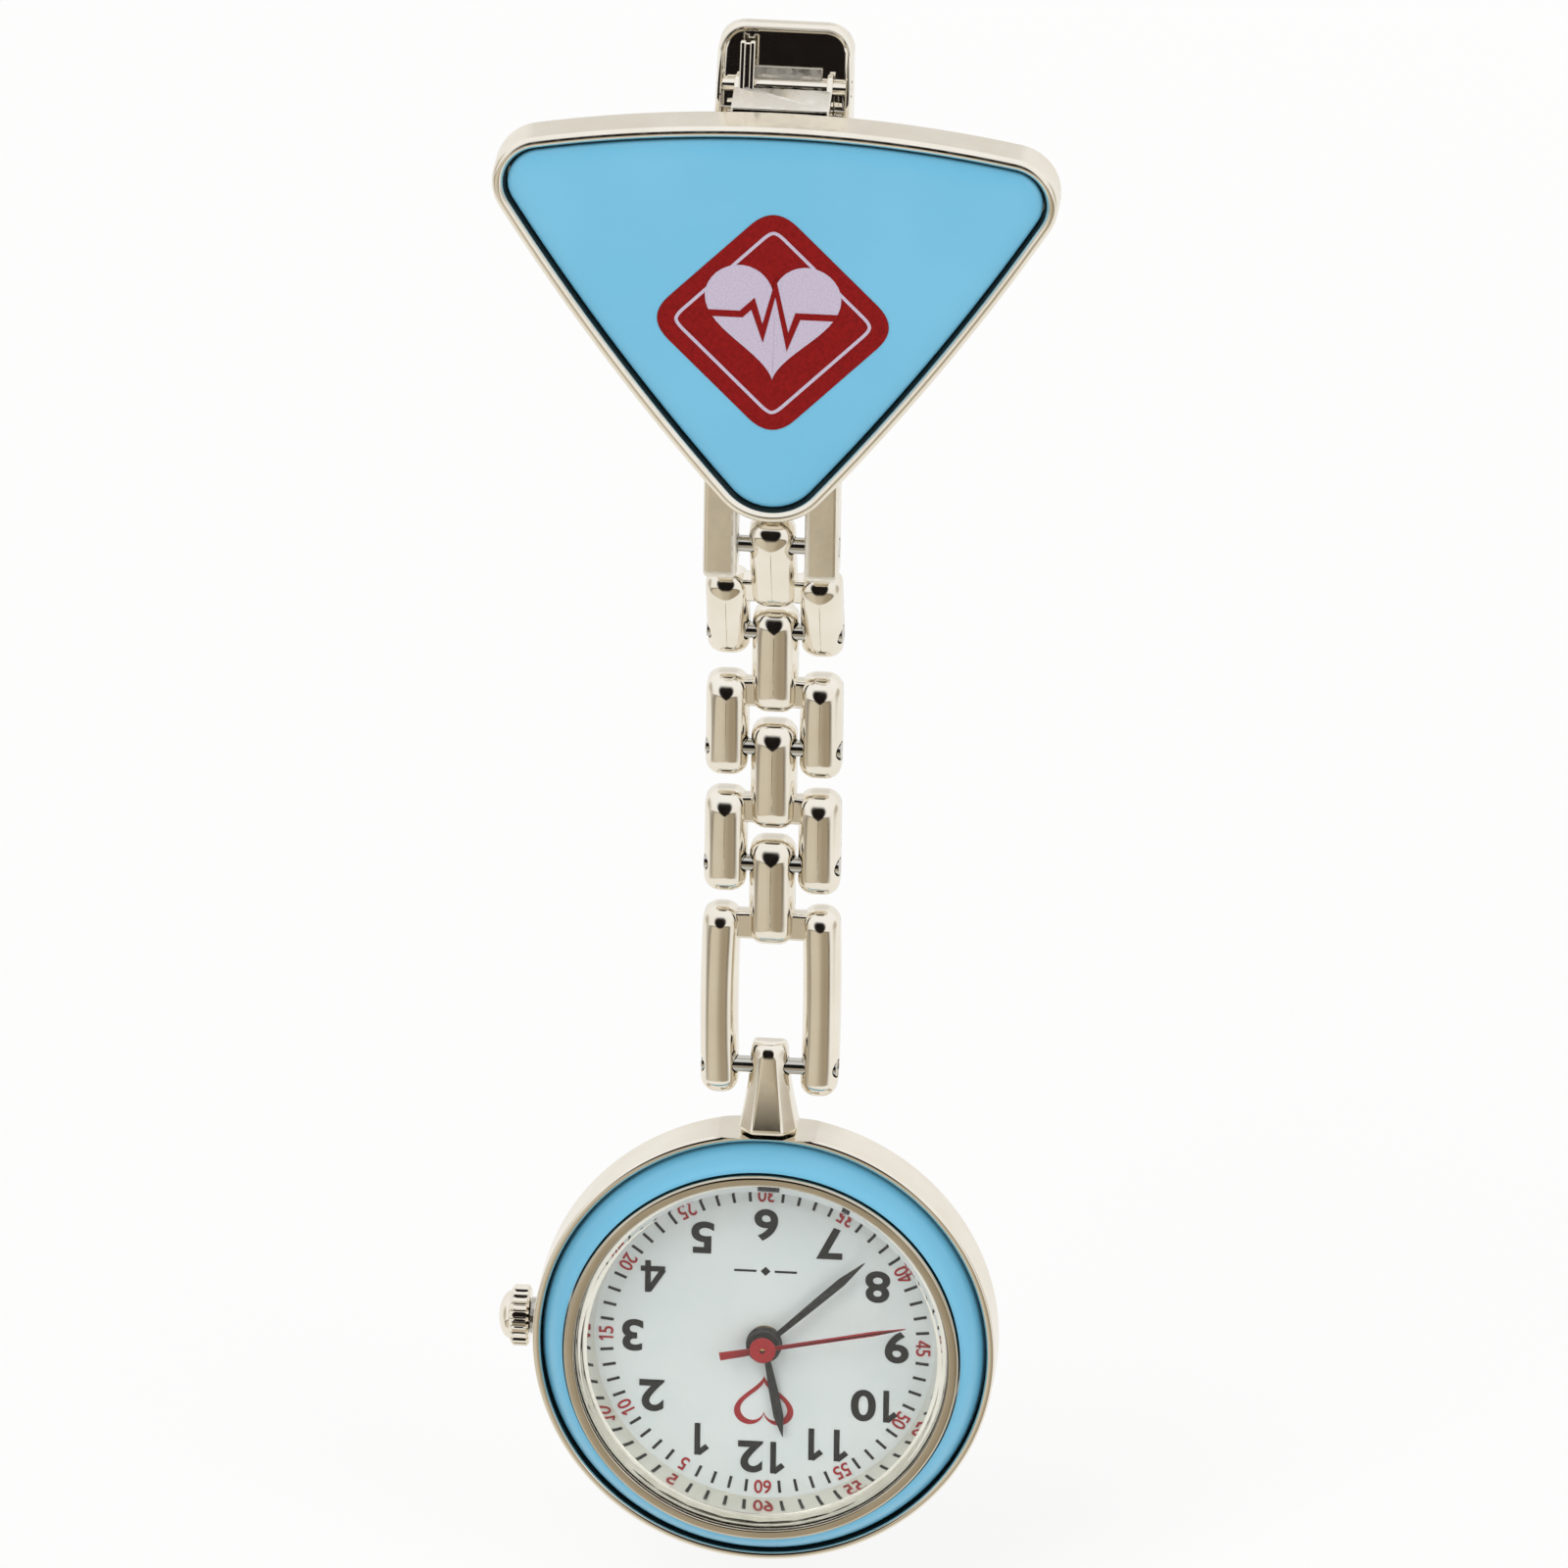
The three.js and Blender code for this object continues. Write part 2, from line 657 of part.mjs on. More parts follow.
function caseBody() {
  const { radius, front, back, edgeRound, lip, boreRadius, webRadius } = watch;
  const ringSeat = radius - lip;
  const body = turned([
    [radius - edgeRound, front],
    [radius, front + edgeRound],
    [radius, watch.taperStart],
    [radius - watch.taper, back],
    [boreRadius, back],
    [boreRadius, watch.seatY],
    [webRadius, watch.seatY],
    [webRadius, webFrontY],
    [ringSeat, webFrontY],
    [ringSeat, front],
  ]);
  const flatZ = Math.sqrt(radius ** 2 - (bail.padWidth / 2) ** 2);
  const flat = box([-radius, radius], [front * 2, back * 2], [flatZ, radius * 2]);
  const padOnly = box([-bail.padWidth, bail.padWidth], [front * 2, back * 2], [0, radius * 2]);
  const tubeHole = rodX(tube.radius + fit.press, -radius * 2, -boreRadius + 1, 16);
  tubeHole.translate(0, stem.y, 0);
  return cut(body, common(flat, padOnly), tubeHole);
}

// The piece on the case wall that takes the last chain pin, with that pin at the origin.
function bailPiece() {
  const flatZ = Math.sqrt(watch.radius ** 2 - (bail.padWidth / 2) ** 2);
  const seatZ = flatZ - watch.radius - watch.pinToRim;
  const padTop = seatZ + bail.padHeight;
  const halfPad = bail.padWidth / 2;
  const front = polygon([
    [-bail.topWidth / 2, bail.rise],
    [-bail.footWidth / 2, padTop],
    [-halfPad + bail.padHeight / 4, seatZ + bail.padHeight / 2],
    [-halfPad, seatZ],
    [halfPad, seatZ],
    [halfPad - bail.padHeight / 4, seatZ + bail.padHeight / 2],
    [bail.footWidth / 2, padTop],
    [bail.topWidth / 2, bail.rise],
  ]);
  const side = polygon([
    [-bail.topDepth / 4, bail.rise],
    [-bail.topDepth / 2, bail.rise - bail.topDepth / 4],
    [-bail.topDepth / 2, -bail.rise],
    [-bail.footDepth / 2, padTop],
    [-bail.padDepth / 2, seatZ + bail.padHeight / 2],
    [-bail.padDepth / 2, seatZ],
    [bail.padDepth / 2, seatZ],
    [bail.padDepth / 2, seatZ + bail.padHeight / 2],
    [bail.footDepth / 2, padTop],
    [bail.topDepth / 2, -bail.rise],
    [bail.topDepth / 2, bail.rise - bail.topDepth / 4],
    [bail.topDepth / 4, bail.rise],
  ]);
  const body = common(
    alongY(front, -bail.padDepth, bail.padDepth),
    alongX(side, -bail.padWidth, bail.padWidth),
  );
  return cut(body, rodX(chain.pinRadius + fit.pin, -bail.padWidth, bail.padWidth));
}

function blueRing() {
  const outer = watch.radius - watch.lip - fit.press;
  const middle = (outer + ring.innerRadius) / 2;
  const middleY = (ring.outerEdgeY + ring.innerEdgeY) / 2 - ring.crown;
  return turned([
    [outer, webFrontY],
    [outer, ring.outerEdgeY],
    [middle, middleY],
    [ring.innerRadius, ring.innerEdgeY],
    [ring.innerRadius, webFrontY],
  ]);
}

function bezelRing() {
  const { radius, frontY, edge, glassRadius, innerRadius, ledgeY } = bezel;
  return turned([
    [innerRadius, webFrontY],
    [radius, webFrontY],
    [radius, frontY + edge],
    [radius - edge, frontY],
    [glassRadius + edge, frontY],
    [glassRadius, frontY + edge],
    [glassRadius, ledgeY],
    [innerRadius, ledgeY],
  ]);
}

function crystalDisc() {
  const radius = bezel.glassRadius - fit.press;
  const frontY = glassBackY - glass.thickness;
  return turned([
    [0, frontY],
    [radius - glass.edge, frontY],
    [radius, frontY + glass.edge],
    [radius, glassBackY],
    [0, glassBackY],
  ]);
}

function washer(inner, outer, y0, y1, segments = 32) {
  return turned([[inner, y0], [outer, y0], [outer, y1], [inner, y1]], segments);
}

function dialFlange() {
  return turned([
    [flange.footRadius, watch.seatY],
    [flange.radius, watch.seatY],
    [flange.radius, flange.topY],
    [flange.topRadius, flange.topY],
  ], 32);
}

function caseBack() {
  const skirtRadius = watch.boreRadius - fit.pin;
  const skirtY = movement.ringBackY + fit.pin;
  return turned([
    [0, cover.backY],
    [cover.flatRadius, cover.backY],
    [cover.radius, coverRimY + cover.rimThickness],
    [cover.radius, coverRimY],
    [skirtRadius, coverRimY],
    [skirtRadius, skirtY],
    [skirtRadius - cover.skirt, skirtY],
    [skirtRadius - cover.skirt, cover.backY - cover.wall],
    [0, cover.backY - cover.wall],
  ]);
}

// ---------------------------------------------------------------- wheels and hands

// Meshing pairs share a centre distance: wheel and pinion radii follow from their tooth counts.
function meshRadii(distance, wheelTeeth, pinionTeeth) {
  const wheel = distance * wheelTeeth / (wheelTeeth + pinionTeeth);
  return { wheel, pinion: distance - wheel };
}

const centreMesh = meshRadii(axes.third.distance, teeth.centre, teeth.thirdPinion);
const thirdMesh = meshRadii(axes.third.distance, teeth.third, teeth.secondsPinion);
const secondsMesh = meshRadii(axes.intermediate.distance, teeth.seconds, teeth.intermediatePinion);
const rotorMesh = meshRadii(axes.rotor.distance, teeth.intermediate, teeth.rotorPinion);
const minuteMesh = meshRadii(axes.minute.distance, teeth.minute, teeth.cannon);
const hourMesh = meshRadii(axes.minute.distance, teeth.hour, teeth.minutePinion);

const thirdAt = polar(axes.third.distance, axes.third.angle);
const intermediateAt = polar(axes.intermediate.distance, axes.intermediate.angle);
const rotorStep = polar(axes.rotor.distance, axes.rotor.angle);
const rotorAt = [intermediateAt[0] + rotorStep[0], intermediateAt[1] + rotorStep[1]];
const minuteAt = polar(axes.minute.distance, axes.minute.angle);
const batteryAt = polar(battery.offset, battery.angle);

function toothed(count, pitchRadius, { front, back }, bore = 0) {
  const tip = pitchRadius - fit.mesh / 2;
  const root = tip - Math.min(arbors.toothDepth, pitchRadius / 4);
  const points = [];
  for (let tooth = 0; tooth < count; tooth += 1) {
    const angle = tooth * 360 / count;
    points.push(polar(tip, angle), polar(root, angle + 180 / count));
  }
  const shape = polygon(points);
  if (bore > 0) shape.holes.push(new THREE.Path().absarc(0, 0, bore, 0, Math.PI * 2, true));
  return alongY(shape, front, back, { curveSegments: 8 });
}

const cannonBore = arbors.seconds + fit.run;
const cannonRadius = cannonBore + arbors.cannonWall;
const hourBore = cannonRadius + fit.run;
const hourPipe = hourBore + arbors.hourWall;
const arborFront = movement.plateY + fit.run;
const arborBack = movement.bridgeBackY - fit.press;

function wheelArbor() {
  return rodY(movement.arbor, arborFront, arborBack, 8);
}

function centreWheel() {
  const disc = toothed(teeth.centre, centreMesh.wheel, layers.centre, cannonBore);
  const pipe = washer(cannonBore, cannonRadius, minuteHand.y - fit.press, layers.centre.back, 16);
  const pinion = toothed(teeth.cannon, minuteMesh.pinion, layers.cannon, cannonBore);
  return join(disc, pipe, pinion);
}

function hourWheel() {
  const disc = toothed(teeth.hour, hourMesh.wheel, layers.hour, hourBore);
  const pipe = washer(hourBore, hourPipe, hourHand.y - fit.press, layers.hour.back, 16);
  return join(disc, pipe);
}

function minuteWheel() {
  const disc = toothed(teeth.minute, minuteMesh.wheel, layers.cannon);
  const pinionLayer = { front: layers.hour.front, back: layers.cannon.back };
  const pinion = toothed(teeth.minutePinion, hourMesh.pinion, pinionLayer);
  const arbor = rodY(movement.arbor, layers.hour.front, movement.plateBackY - fit.run, 8);
  return join(disc, pinion, arbor);
}

function secondsWheel() {
  const disc = toothed(teeth.seconds, secondsMesh.wheel, layers.seconds);
  const pinionLayer = { front: layers.seconds.back - fit.press, back: layers.third.back };
  const pinion = toothed(teeth.secondsPinion, thirdMesh.pinion, pinionLayer);
  const arbor = rodY(arbors.seconds, secondsHand.y - fit.press, arborBack, 16);
  return join(disc, pinion, arbor);
}

function thirdWheel() {
  const disc = toothed(teeth.third, thirdMesh.wheel, layers.third);
  const pinion = toothed(teeth.thirdPinion, centreMesh.pinion, layers.centre);
  return join(disc, pinion, wheelArbor());
}

function intermediateWheel() {
  const disc = toothed(teeth.intermediate, rotorMesh.wheel, layers.third);
  const pinion = toothed(teeth.intermediatePinion, secondsMesh.pinion, layers.seconds);
  return join(disc, pinion, wheelArbor());
}

function rotor() {
  const magnetRadius = stator.bore - fit.run * 2;
  const magnet = rodY(magnetRadius, movement.plateBackY + fit.press, layers.seconds.back, 16);
  const pinionLayer = { front: layers.seconds.back - fit.press, back: layers.third.back };
  const pinion = toothed(teeth.rotorPinion, rotorMesh.pinion, pinionLayer);
  return join(magnet, pinion, wheelArbor());
}

// A hand pointing at the dial's twelve, which is below the centre, turned to its reading.
function hand({ y, length, width, hub, tail, tailWidth }, bore, turns) {
  const blade = polygon([
    [-width / 2, 0],
    [-width / 4, -length * 0.85],
    [0, -length],
    [width / 4, -length * 0.85],
    [width / 2, 0],
    [tailWidth / 2, tail],
    [-tailWidth / 2, tail],
  ]);
  const disc = rodY(hub, y, y + handThickness, 24);
  const whole = join(disc, alongY(blade, y, y + handThickness));
  const bored = cut(whole, rodY(bore + fit.press / 2, y - 1, y + 1, 16));
  return bored.rotateY(turns * Math.PI * 2);
}

const secondTurns = shownTime.second / 60;
const minuteTurns = (shownTime.minute + secondTurns) / 60;
const hourTurns = (shownTime.hour + minuteTurns) / 12;

// ---------------------------------------------------------------- movement

function postRod([x, z], y0, y1) {
  return rodY(movement.postRadius, y0, y1, 12).translate(x, 0, z);
}

function pivotHole([x, z]) {
  return rodY(movement.arbor + fit.run, 0, watch.back * 2, 8).translate(x, 0, z);
}

const bridgePosts = [[-4.1, 2.6], [1.7, -3.7], [-4.3, -2.4]];

function stemSlot(y0, y1) {
  const half = clutch.radius + fit.jaw;
  return box([-movement.radius * 2, -stem.innerEnd + fit.jaw], [y0, y1], [-half, half]);
}

function mainPlate() {
  const { radius, plateY, plateBackY } = movement;
  const disc = rodY(radius, plateY, plateBackY, 32);
  const batteryHole = rodY(battery.radius + fit.pin, 0, watch.back, 32);
  batteryHole.translate(batteryAt[0], 0, batteryAt[1]);
  const centreHole = rodY(cannonRadius + fit.run, 0, watch.back, 16);
  const coilRoom = box(
    [coil.x - coil.length / 2 - fit.pin, coil.x + coil.length / 2 + fit.pin],
    [0, watch.back],
    [coil.z - coil.radius - fit.pin, coil.z + coil.radius + fit.pin],
  );
  const pivots = [thirdAt, intermediateAt, rotorAt, minuteAt].map(pivotHole);
  return cut(disc, batteryHole, centreHole, coilRoom, stemSlot(0, watch.back), ...pivots);
}

function trainBridge() {
  const { bridgeY, bridgeBackY, plateBackY } = movement;
  const spine = [thirdAt, [0, 0], intermediateAt, rotorAt];
  const arms = [[thirdAt, bridgePosts[0]], [[0, 0], bridgePosts[1]], [rotorAt, bridgePosts[2]]];
  const runs = spine.slice(1).map((point, index) => [spine[index], point]).concat(arms);
  const strips = runs.map(([from, to]) => strip(from, to, movement.postRadius * 1.6, bridgeY, bridgeBackY));
  const posts = bridgePosts.map((point) => postRod(point, plateBackY, bridgeBackY));
  const pivots = [thirdAt, intermediateAt, rotorAt].map(pivotHole);
  const secondsHole = rodY(arbors.seconds + fit.run, 0, watch.back * 2, 16);
  return cut(join(...strips, ...posts), ...pivots, secondsHole);
}

function movementRing() {
  const inner = movement.radius + fit.pin;
  const body = washer(inner, movement.ringRadius, dialBackY, movement.ringBackY);
  const stemHole = rodX(stem.radius + fit.pin, -movement.ringRadius * 2, 0).translate(0, stem.y, 0);
  return cut(body, stemHole);
}

function statorPlate() {
  const [x, z] = rotorAt;
  const y0 = movement.plateBackY;
  const y1 = y0 + stator.thickness;
  const half = stator.legWidth / 2;
  const reach = (coil.core - stator.legWidth) / 2;
  const legs = [-1, 1].flatMap((side) => {
    const end = [coil.x + side * reach, coil.z];
    const knee = [end[0], z - stator.radius];
    return [strip([x, z], knee, half, y0, y1), strip(knee, end, half, y0, y1)];
  });
  const head = rodY(stator.radius, y0, y1, 24).translate(x, 0, z);
  return cut(join(head, ...legs), rodY(stator.bore, 0, watch.back, 16).translate(x, 0, z));
}

const coreFrontY = movement.plateBackY + stator.thickness;

function coilCore() {
  const half = coil.core / 2;
  const halfWidth = coil.coreWidth / 2;
  return box(
    [coil.x - half, coil.x + half],
    [coreFrontY, coreFrontY + coil.coreThickness],
    [coil.z - halfWidth, coil.z + halfWidth],
  );
}

function motorCoil() {
  const half = coil.length / 2;
  const y = coreFrontY + coil.coreThickness / 2;
  const winding = rodX(coil.radius, coil.x - half, coil.x + half, 16).translate(0, y, coil.z);
  const room = box(
    [coil.x - half - 1, coil.x + half + 1],
    [coreFrontY - fit.press, coreFrontY + coil.coreThickness + fit.press],
    [coil.z - coil.coreWidth / 2 - fit.press, coil.z + coil.coreWidth / 2 + fit.press],
  );
  return cut(winding, room);
}

const boardBackY = movement.plateBackY + board.thickness;

function circuitBoard() {
  const from = THREE.MathUtils.degToRad(board.start);
  const to = THREE.MathUtils.degToRad(board.end);
  const shape = new THREE.Shape();
  shape.absarc(0, 0, board.outer, from, to);
  shape.absarc(0, 0, board.inner, to, from, true);
  return alongY(shape, movement.plateBackY, boardBackY);
}

const quartz = { radius: 0.7, length: 5 };
const chip = { size: 1.7, thickness: 0.5, angle: 133 };

function quartzCan() {
  const z = (board.inner + board.outer) / 2;
  const half = quartz.length / 2;
  const can = rodX(quartz.radius, -half, half, 16);
  return can.translate(0, boardBackY + quartz.radius + fit.press, z);
}

function timerChip() {
  const [x, z] = polar((board.inner + board.outer) / 2, chip.angle);
  const half = chip.size / 2;
  return box([x - half, x + half], [boardBackY, boardBackY + chip.thickness], [z - half, z + half]);
}

function batteryCell() {
  const back = battery.y + battery.thickness;
  const step = battery.thickness / 5;
  return turned([
    [0, battery.y],
    [battery.radius - step, battery.y],
    [battery.radius - step, battery.y + step],
    [battery.radius, battery.y + step],
    [battery.radius, back],
    [0, back],
  ], 32).translate(batteryAt[0], 0, batteryAt[1]);
}

function batteryStrap() {
  const strapY = battery.y + battery.thickness;
  const strapBack = strapY + movement.arbor;
  const foot = [2.6, 3];
  const blade = strip(foot, [batteryAt[0] - 1, batteryAt[1] + 1], movement.postRadius, strapY, strapBack);
  return join(blade, postRod(foot, movement.plateBackY, strapBack));
}

const leverPivot = [-7, 2.2];

function settingLever() {
  const front = stem.y + stem.radius + fit.pin;
  const back = front + fit.pin;
  const arm = strip(leverPivot, [-stem.grooveAt, 0], movement.postRadius * 0.8, front, back);
  const peg = rodY(stem.grooveRadius - fit.press, stem.y + stem.grooveRadius + fit.press, back, 8);
  const pivot = rodY(movement.postRadius / 2, movement.plateBackY, back, 8);
  return join(
    arm,
    peg.translate(-stem.grooveAt, 0, 0),
    pivot.translate(leverPivot[0], 0, leverPivot[1]),
  );
}

// ---------------------------------------------------------------- crown

const crownInnerX = -watch.radius - crown.neck;
const crownEdgeX = crownInnerX - crown.knurlLength;

// Turns a profile of (radius, distance to the left of the axis) about the stem.
function turnedX(profile, segments) {
  return turned(profile, segments).rotateZ(Math.PI / 2).translate(0, stem.y, 0);
}

function crownKnob() {
  const { radius, knurls, knurlDepth, domeHeight } = crown;
  const inner = radius - knurlDepth;
  const profile = [];
  for (let tooth = 0; tooth < knurls; tooth += 1) {
    const angle = tooth * 360 / knurls;
    profile.push(polar(radius, angle), polar(inner, angle + 180 / knurls));
  }
  const knurled = alongX(polygon(profile), crownEdgeX, crownInnerX).translate(0, stem.y, 0);
  const dome = [[0, -crownEdgeX - crown.knurlLength / 2]];
  dome.push([inner * 0.9, -crownEdgeX - crown.knurlLength / 2]);
  for (let step = 0; step <= 4; step += 1) {
    const angle = step * Math.PI / 8;
    const reach = step === 4 ? 0 : inner * 0.9 * Math.cos(angle);
    dome.push([reach, -crownEdgeX + domeHeight * Math.sin(angle)]);
  }
  const bore = rodX(stem.radius + fit.press, crownInnerX - crown.bore, crownInnerX + 1, 16);
  return cut(join(knurled, turnedX(dome, 24)), bore.translate(0, stem.y, 0));
}

function crownStem() {
  const { radius, grooveAt, grooveRadius, innerEnd } = stem;
  const half = stem.grooveWidth / 2;
  const outerEnd = -crownInnerX + crown.bore - fit.press;
  return turnedX([
    [0, innerEnd],
    [radius, innerEnd],
    [radius, grooveAt - half],
    [grooveRadius, grooveAt - half],
    [grooveRadius, grooveAt + half],
    [radius, grooveAt + half],
    [radius, outerEnd],
    [0, outerEnd],
  ], 16);
}

function clutchWheel() {
  const half = clutch.length / 2;
  const bore = stem.radius + fit.press;
  const span = { front: clutch.at - half, back: clutch.at + half };
  const wheel = toothed(clutch.teeth, clutch.radius, span, bore);
  return wheel.rotateZ(Math.PI / 2).translate(0, stem.y, 0);
}

function crownTube() {
  return turnedX([
    [tube.bore, tube.inner],
    [tube.radius, tube.inner],
    [tube.radius, watch.radius + tube.proud],
    [tube.bore, watch.radius + tube.proud],
  ], 16);
}

function crownGasket() {
  const half = seal.length / 2;
  const inner = stem.radius + fit.press;
  return turnedX([
    [inner, seal.at - half],
    [seal.radius, seal.at - half],
    [seal.radius, seal.at + half],
    [inner, seal.at + half],
  ], 16);
}

// ---------------------------------------------------------------- assembly

addPiece(group, 'badge_frame', 'nickel', badgeFrame());
addPiece(group, 'badge_inlay', 'enamel', badgeInlay());
addPiece(group, 'clip_bracket', 'nickel', clipBracket());
addPiece(group, 'clip_rivet_left', 'nickel', clipRivet(rivetPlaces[0]));
addPiece(group, 'clip_rivet_right', 'nickel', clipRivet(rivetPlaces[1]));
addPiece(group, 'clip_lever', 'nickel', clipLever());
addPiece(group, 'clip_pin', 'steel', rodX(clip.pinRadius, -clip.width / 2, clip.width / 2, 16)
  .translate(0, hinge.y, hinge.z));
addPiece(group, 'clip_spring', 'steel', clipSpring());
addPiece(group, 'chain_pin_1', 'steel', chainPin(lug.outerWidth, lugPin.y, lugPin.z));

for (let number = 1; number <= chain.shortLinks; number += 1) {
  const leaning = number === 1;
  const z = leaning ? lugPin.z : secondPinZ - chain.pitch * (number - 2);
  const holder = place(group, 0, leaning ? lugPin.y : straightY, z);
  if (leaning) holder.rotation.x = chain.lean;
  addPiece(holder, `chain_link_${number}`, 'nickel', forkLink(chain.pitch, chain.barWidth));
  addPiece(holder, `chain_pin_${number + 1}`, 'steel', chainPin(chain.width, 0, -chain.pitch));
}

const longHolder = place(group, 0, straightY, longPinZ);
addPiece(longHolder, 'long_link', 'nickel', forkLink(chain.longPitch, chain.longBarWidth));
addPiece(longHolder, 'chain_pin_5', 'steel', chainPin(chain.width, 0, -chain.longPitch));

addPiece(place(group, 0, straightY, bailPinZ), 'bail', 'nickel', bailPiece());

const head = place(group, 0, straightY, watchZ);
addPiece(head, 'case_body', 'nickel', caseBody());
addPiece(head, 'blue_ring', 'enamel', blueRing());
addPiece(head, 'bezel', 'nickel', bezelRing());
addPiece(head, 'crystal', 'glass', crystalDisc());
addPiece(head, 'crystal_gasket', 'rubber', washer(
  bezel.innerRadius + fit.press,
  bezel.glassRadius - fit.press,
  glassBackY,
  bezel.ledgeY,
));
addPiece(head, 'dial_flange', 'nickel', dialFlange());
addPiece(head, 'dial', 'dialWhite', washer(dial.holeRadius, dial.radius, watch.seatY, dialBackY));
addPiece(head, 'case_back', 'nickel', caseBack());
addPiece(head, 'back_gasket', 'rubber', washer(backGasket.inner, backGasket.outer, watch.back, coverRimY));

addPiece(head, 'movement_ring', 'plastic', movementRing());
addPiece(head, 'main_plate', 'brass', mainPlate());
addPiece(head, 'train_bridge', 'steel', trainBridge());
addPiece(head, 'circuit_board', 'board', circuitBoard());
addPiece(head, 'quartz_can', 'steel', quartzCan());
addPiece(head, 'timer_chip', 'black', timerChip());
addPiece(head, 'coil_core', 'steel', coilCore());
addPiece(head, 'motor_coil', 'copper', motorCoil());
addPiece(head, 'stator', 'steel', statorPlate());
addPiece(head, 'battery', 'steel', batteryCell());
addPiece(head, 'battery_strap', 'steel', batteryStrap());
addPiece(head, 'setting_lever', 'steel', settingLever());

addPiece(head, 'seconds_wheel', 'brass', secondsWheel());
addPiece(head, 'centre_wheel', 'brass', centreWheel());
addPiece(head, 'hour_wheel', 'brass', hourWheel());
const atAxis = ([x, z]) => place(head, x, 0, z);
addPiece(atAxis(minuteAt), 'minute_wheel', 'brass', minuteWheel());
addPiece(atAxis(thirdAt), 'third_wheel', 'brass', thirdWheel());
addPiece(atAxis(intermediateAt), 'intermediate_wheel', 'brass', intermediateWheel());
addPiece(atAxis(rotorAt), 'rotor', 'steel', rotor());

addPiece(head, 'hour_hand', 'black', hand(hourHand, hourPipe, hourTurns));
addPiece(head, 'minute_hand', 'black', hand(minuteHand, cannonRadius, minuteTurns));
addPiece(head, 'seconds_hand', 'red', hand(secondsHand, arbors.seconds, secondTurns));

addPiece(head, 'crown_tube', 'steel', crownTube());
addPiece(head, 'crown_gasket', 'rubber', crownGasket());
addPiece(head, 'crown', 'nickel', crownKnob());
addPiece(head, 'crown_stem', 'steel', crownStem());
addPiece(head, 'clutch_wheel', 'steel', clutchWheel());

export default group;
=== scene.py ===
"""Fine meshes, materials, light and camera for a hanging fob watch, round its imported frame."""

import math

import bmesh
import bpy
from mathutils import Matrix, Vector


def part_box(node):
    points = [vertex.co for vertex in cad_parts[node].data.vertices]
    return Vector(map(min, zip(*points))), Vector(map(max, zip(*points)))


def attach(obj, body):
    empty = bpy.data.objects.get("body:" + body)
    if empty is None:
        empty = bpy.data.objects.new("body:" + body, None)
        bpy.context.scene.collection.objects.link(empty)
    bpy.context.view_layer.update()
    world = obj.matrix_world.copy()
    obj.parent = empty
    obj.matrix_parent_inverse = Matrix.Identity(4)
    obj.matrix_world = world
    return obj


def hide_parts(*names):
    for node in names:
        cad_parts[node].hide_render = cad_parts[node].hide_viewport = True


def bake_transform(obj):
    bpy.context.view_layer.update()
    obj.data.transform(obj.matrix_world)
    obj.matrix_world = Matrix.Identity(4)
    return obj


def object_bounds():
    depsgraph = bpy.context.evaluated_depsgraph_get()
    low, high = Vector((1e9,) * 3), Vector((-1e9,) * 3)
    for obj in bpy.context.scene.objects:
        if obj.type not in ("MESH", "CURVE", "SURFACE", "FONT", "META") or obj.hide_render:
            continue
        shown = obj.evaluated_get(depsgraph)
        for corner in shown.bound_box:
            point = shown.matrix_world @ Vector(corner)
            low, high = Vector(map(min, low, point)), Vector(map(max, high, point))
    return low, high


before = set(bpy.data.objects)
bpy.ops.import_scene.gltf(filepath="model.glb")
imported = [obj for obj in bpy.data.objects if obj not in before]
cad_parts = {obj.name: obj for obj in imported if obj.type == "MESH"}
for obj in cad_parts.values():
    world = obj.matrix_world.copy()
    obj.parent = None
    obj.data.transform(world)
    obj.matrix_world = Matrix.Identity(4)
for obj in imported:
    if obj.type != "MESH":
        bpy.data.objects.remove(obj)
cad_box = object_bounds()

MM = 0.001
ARC = 8  # steps in a quarter turn of a rounded edge
TURN = 192  # segments round a turned piece


# --- places from the frame, in mm


def span(node):
    low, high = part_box(node)
    return low / MM, high / MM


def middle(node):
    low, high = span(node)
    return (low + high) / 2


def radius_of(node):
    low, high = span(node)
    return (high.z - low.z) / 2


pins = [middle(f"chain_pin_{number}") for number in range(1, 6)]
pin_radius = radius_of("chain_pin_2")
hinge = middle("clip_pin")
hinge_radius = radius_of("clip_pin")
badge_low, badge_high = span("badge_frame")
lever_low, lever_high = span("clip_lever")
bracket_low, bracket_high = span("clip_bracket")
badge_front = badge_low.y
badge_back = bracket_low.y
axis_y = pins[4].y  # the chain's plane
axis = middle("case_body")
dial_low, dial_high = span("dial")
dial_face = dial_low.y
case_low, case_high = span("case_body")
case_radius = (case_high.x - case_low.x) / 2
RIVETS = ("clip_rivet_left", "clip_rivet_right")

# Sizes of the shapes that the frame's boxes don't give.
badge = {"corner": 3, "tip": 4, "top_arc": 80, "side_arc": 150, "edge": 0.4}
badge.update({"lip": 0.45, "bevel": 0.4, "bevel_depth": 0.6, "pocket": 1.5})
inlay = {"gap": 0.07, "dome": 1.6, "rise": 0.4, "edge": 0.06}
lug = {"outer": 8.1, "width": 2, "thick": 2.6, "tail": 1.9, "rise": 3.2}
emblem = {"across": 14.1, "corner": 2.0, "below": 11.7, "rise": 0.06}
sheet = 0.5
pin_play = 0.1
hinge_play = 0.12
clip = {"shelf": 0.8, "shelf_rise": 0.48, "ear": 0.34, "tang_rail": 0.32, "tang_web": 0.7, "tang_gap": 0.58}
link = {"width": 8.2, "tongue": 2.75, "side": 2.55, "thick": 2.2, "long_side": 2.25, "pitch": 7.6}
link.update({"rise": 1.6, "tail": 1.9, "gap": 0.7, "bar_gap": 1})
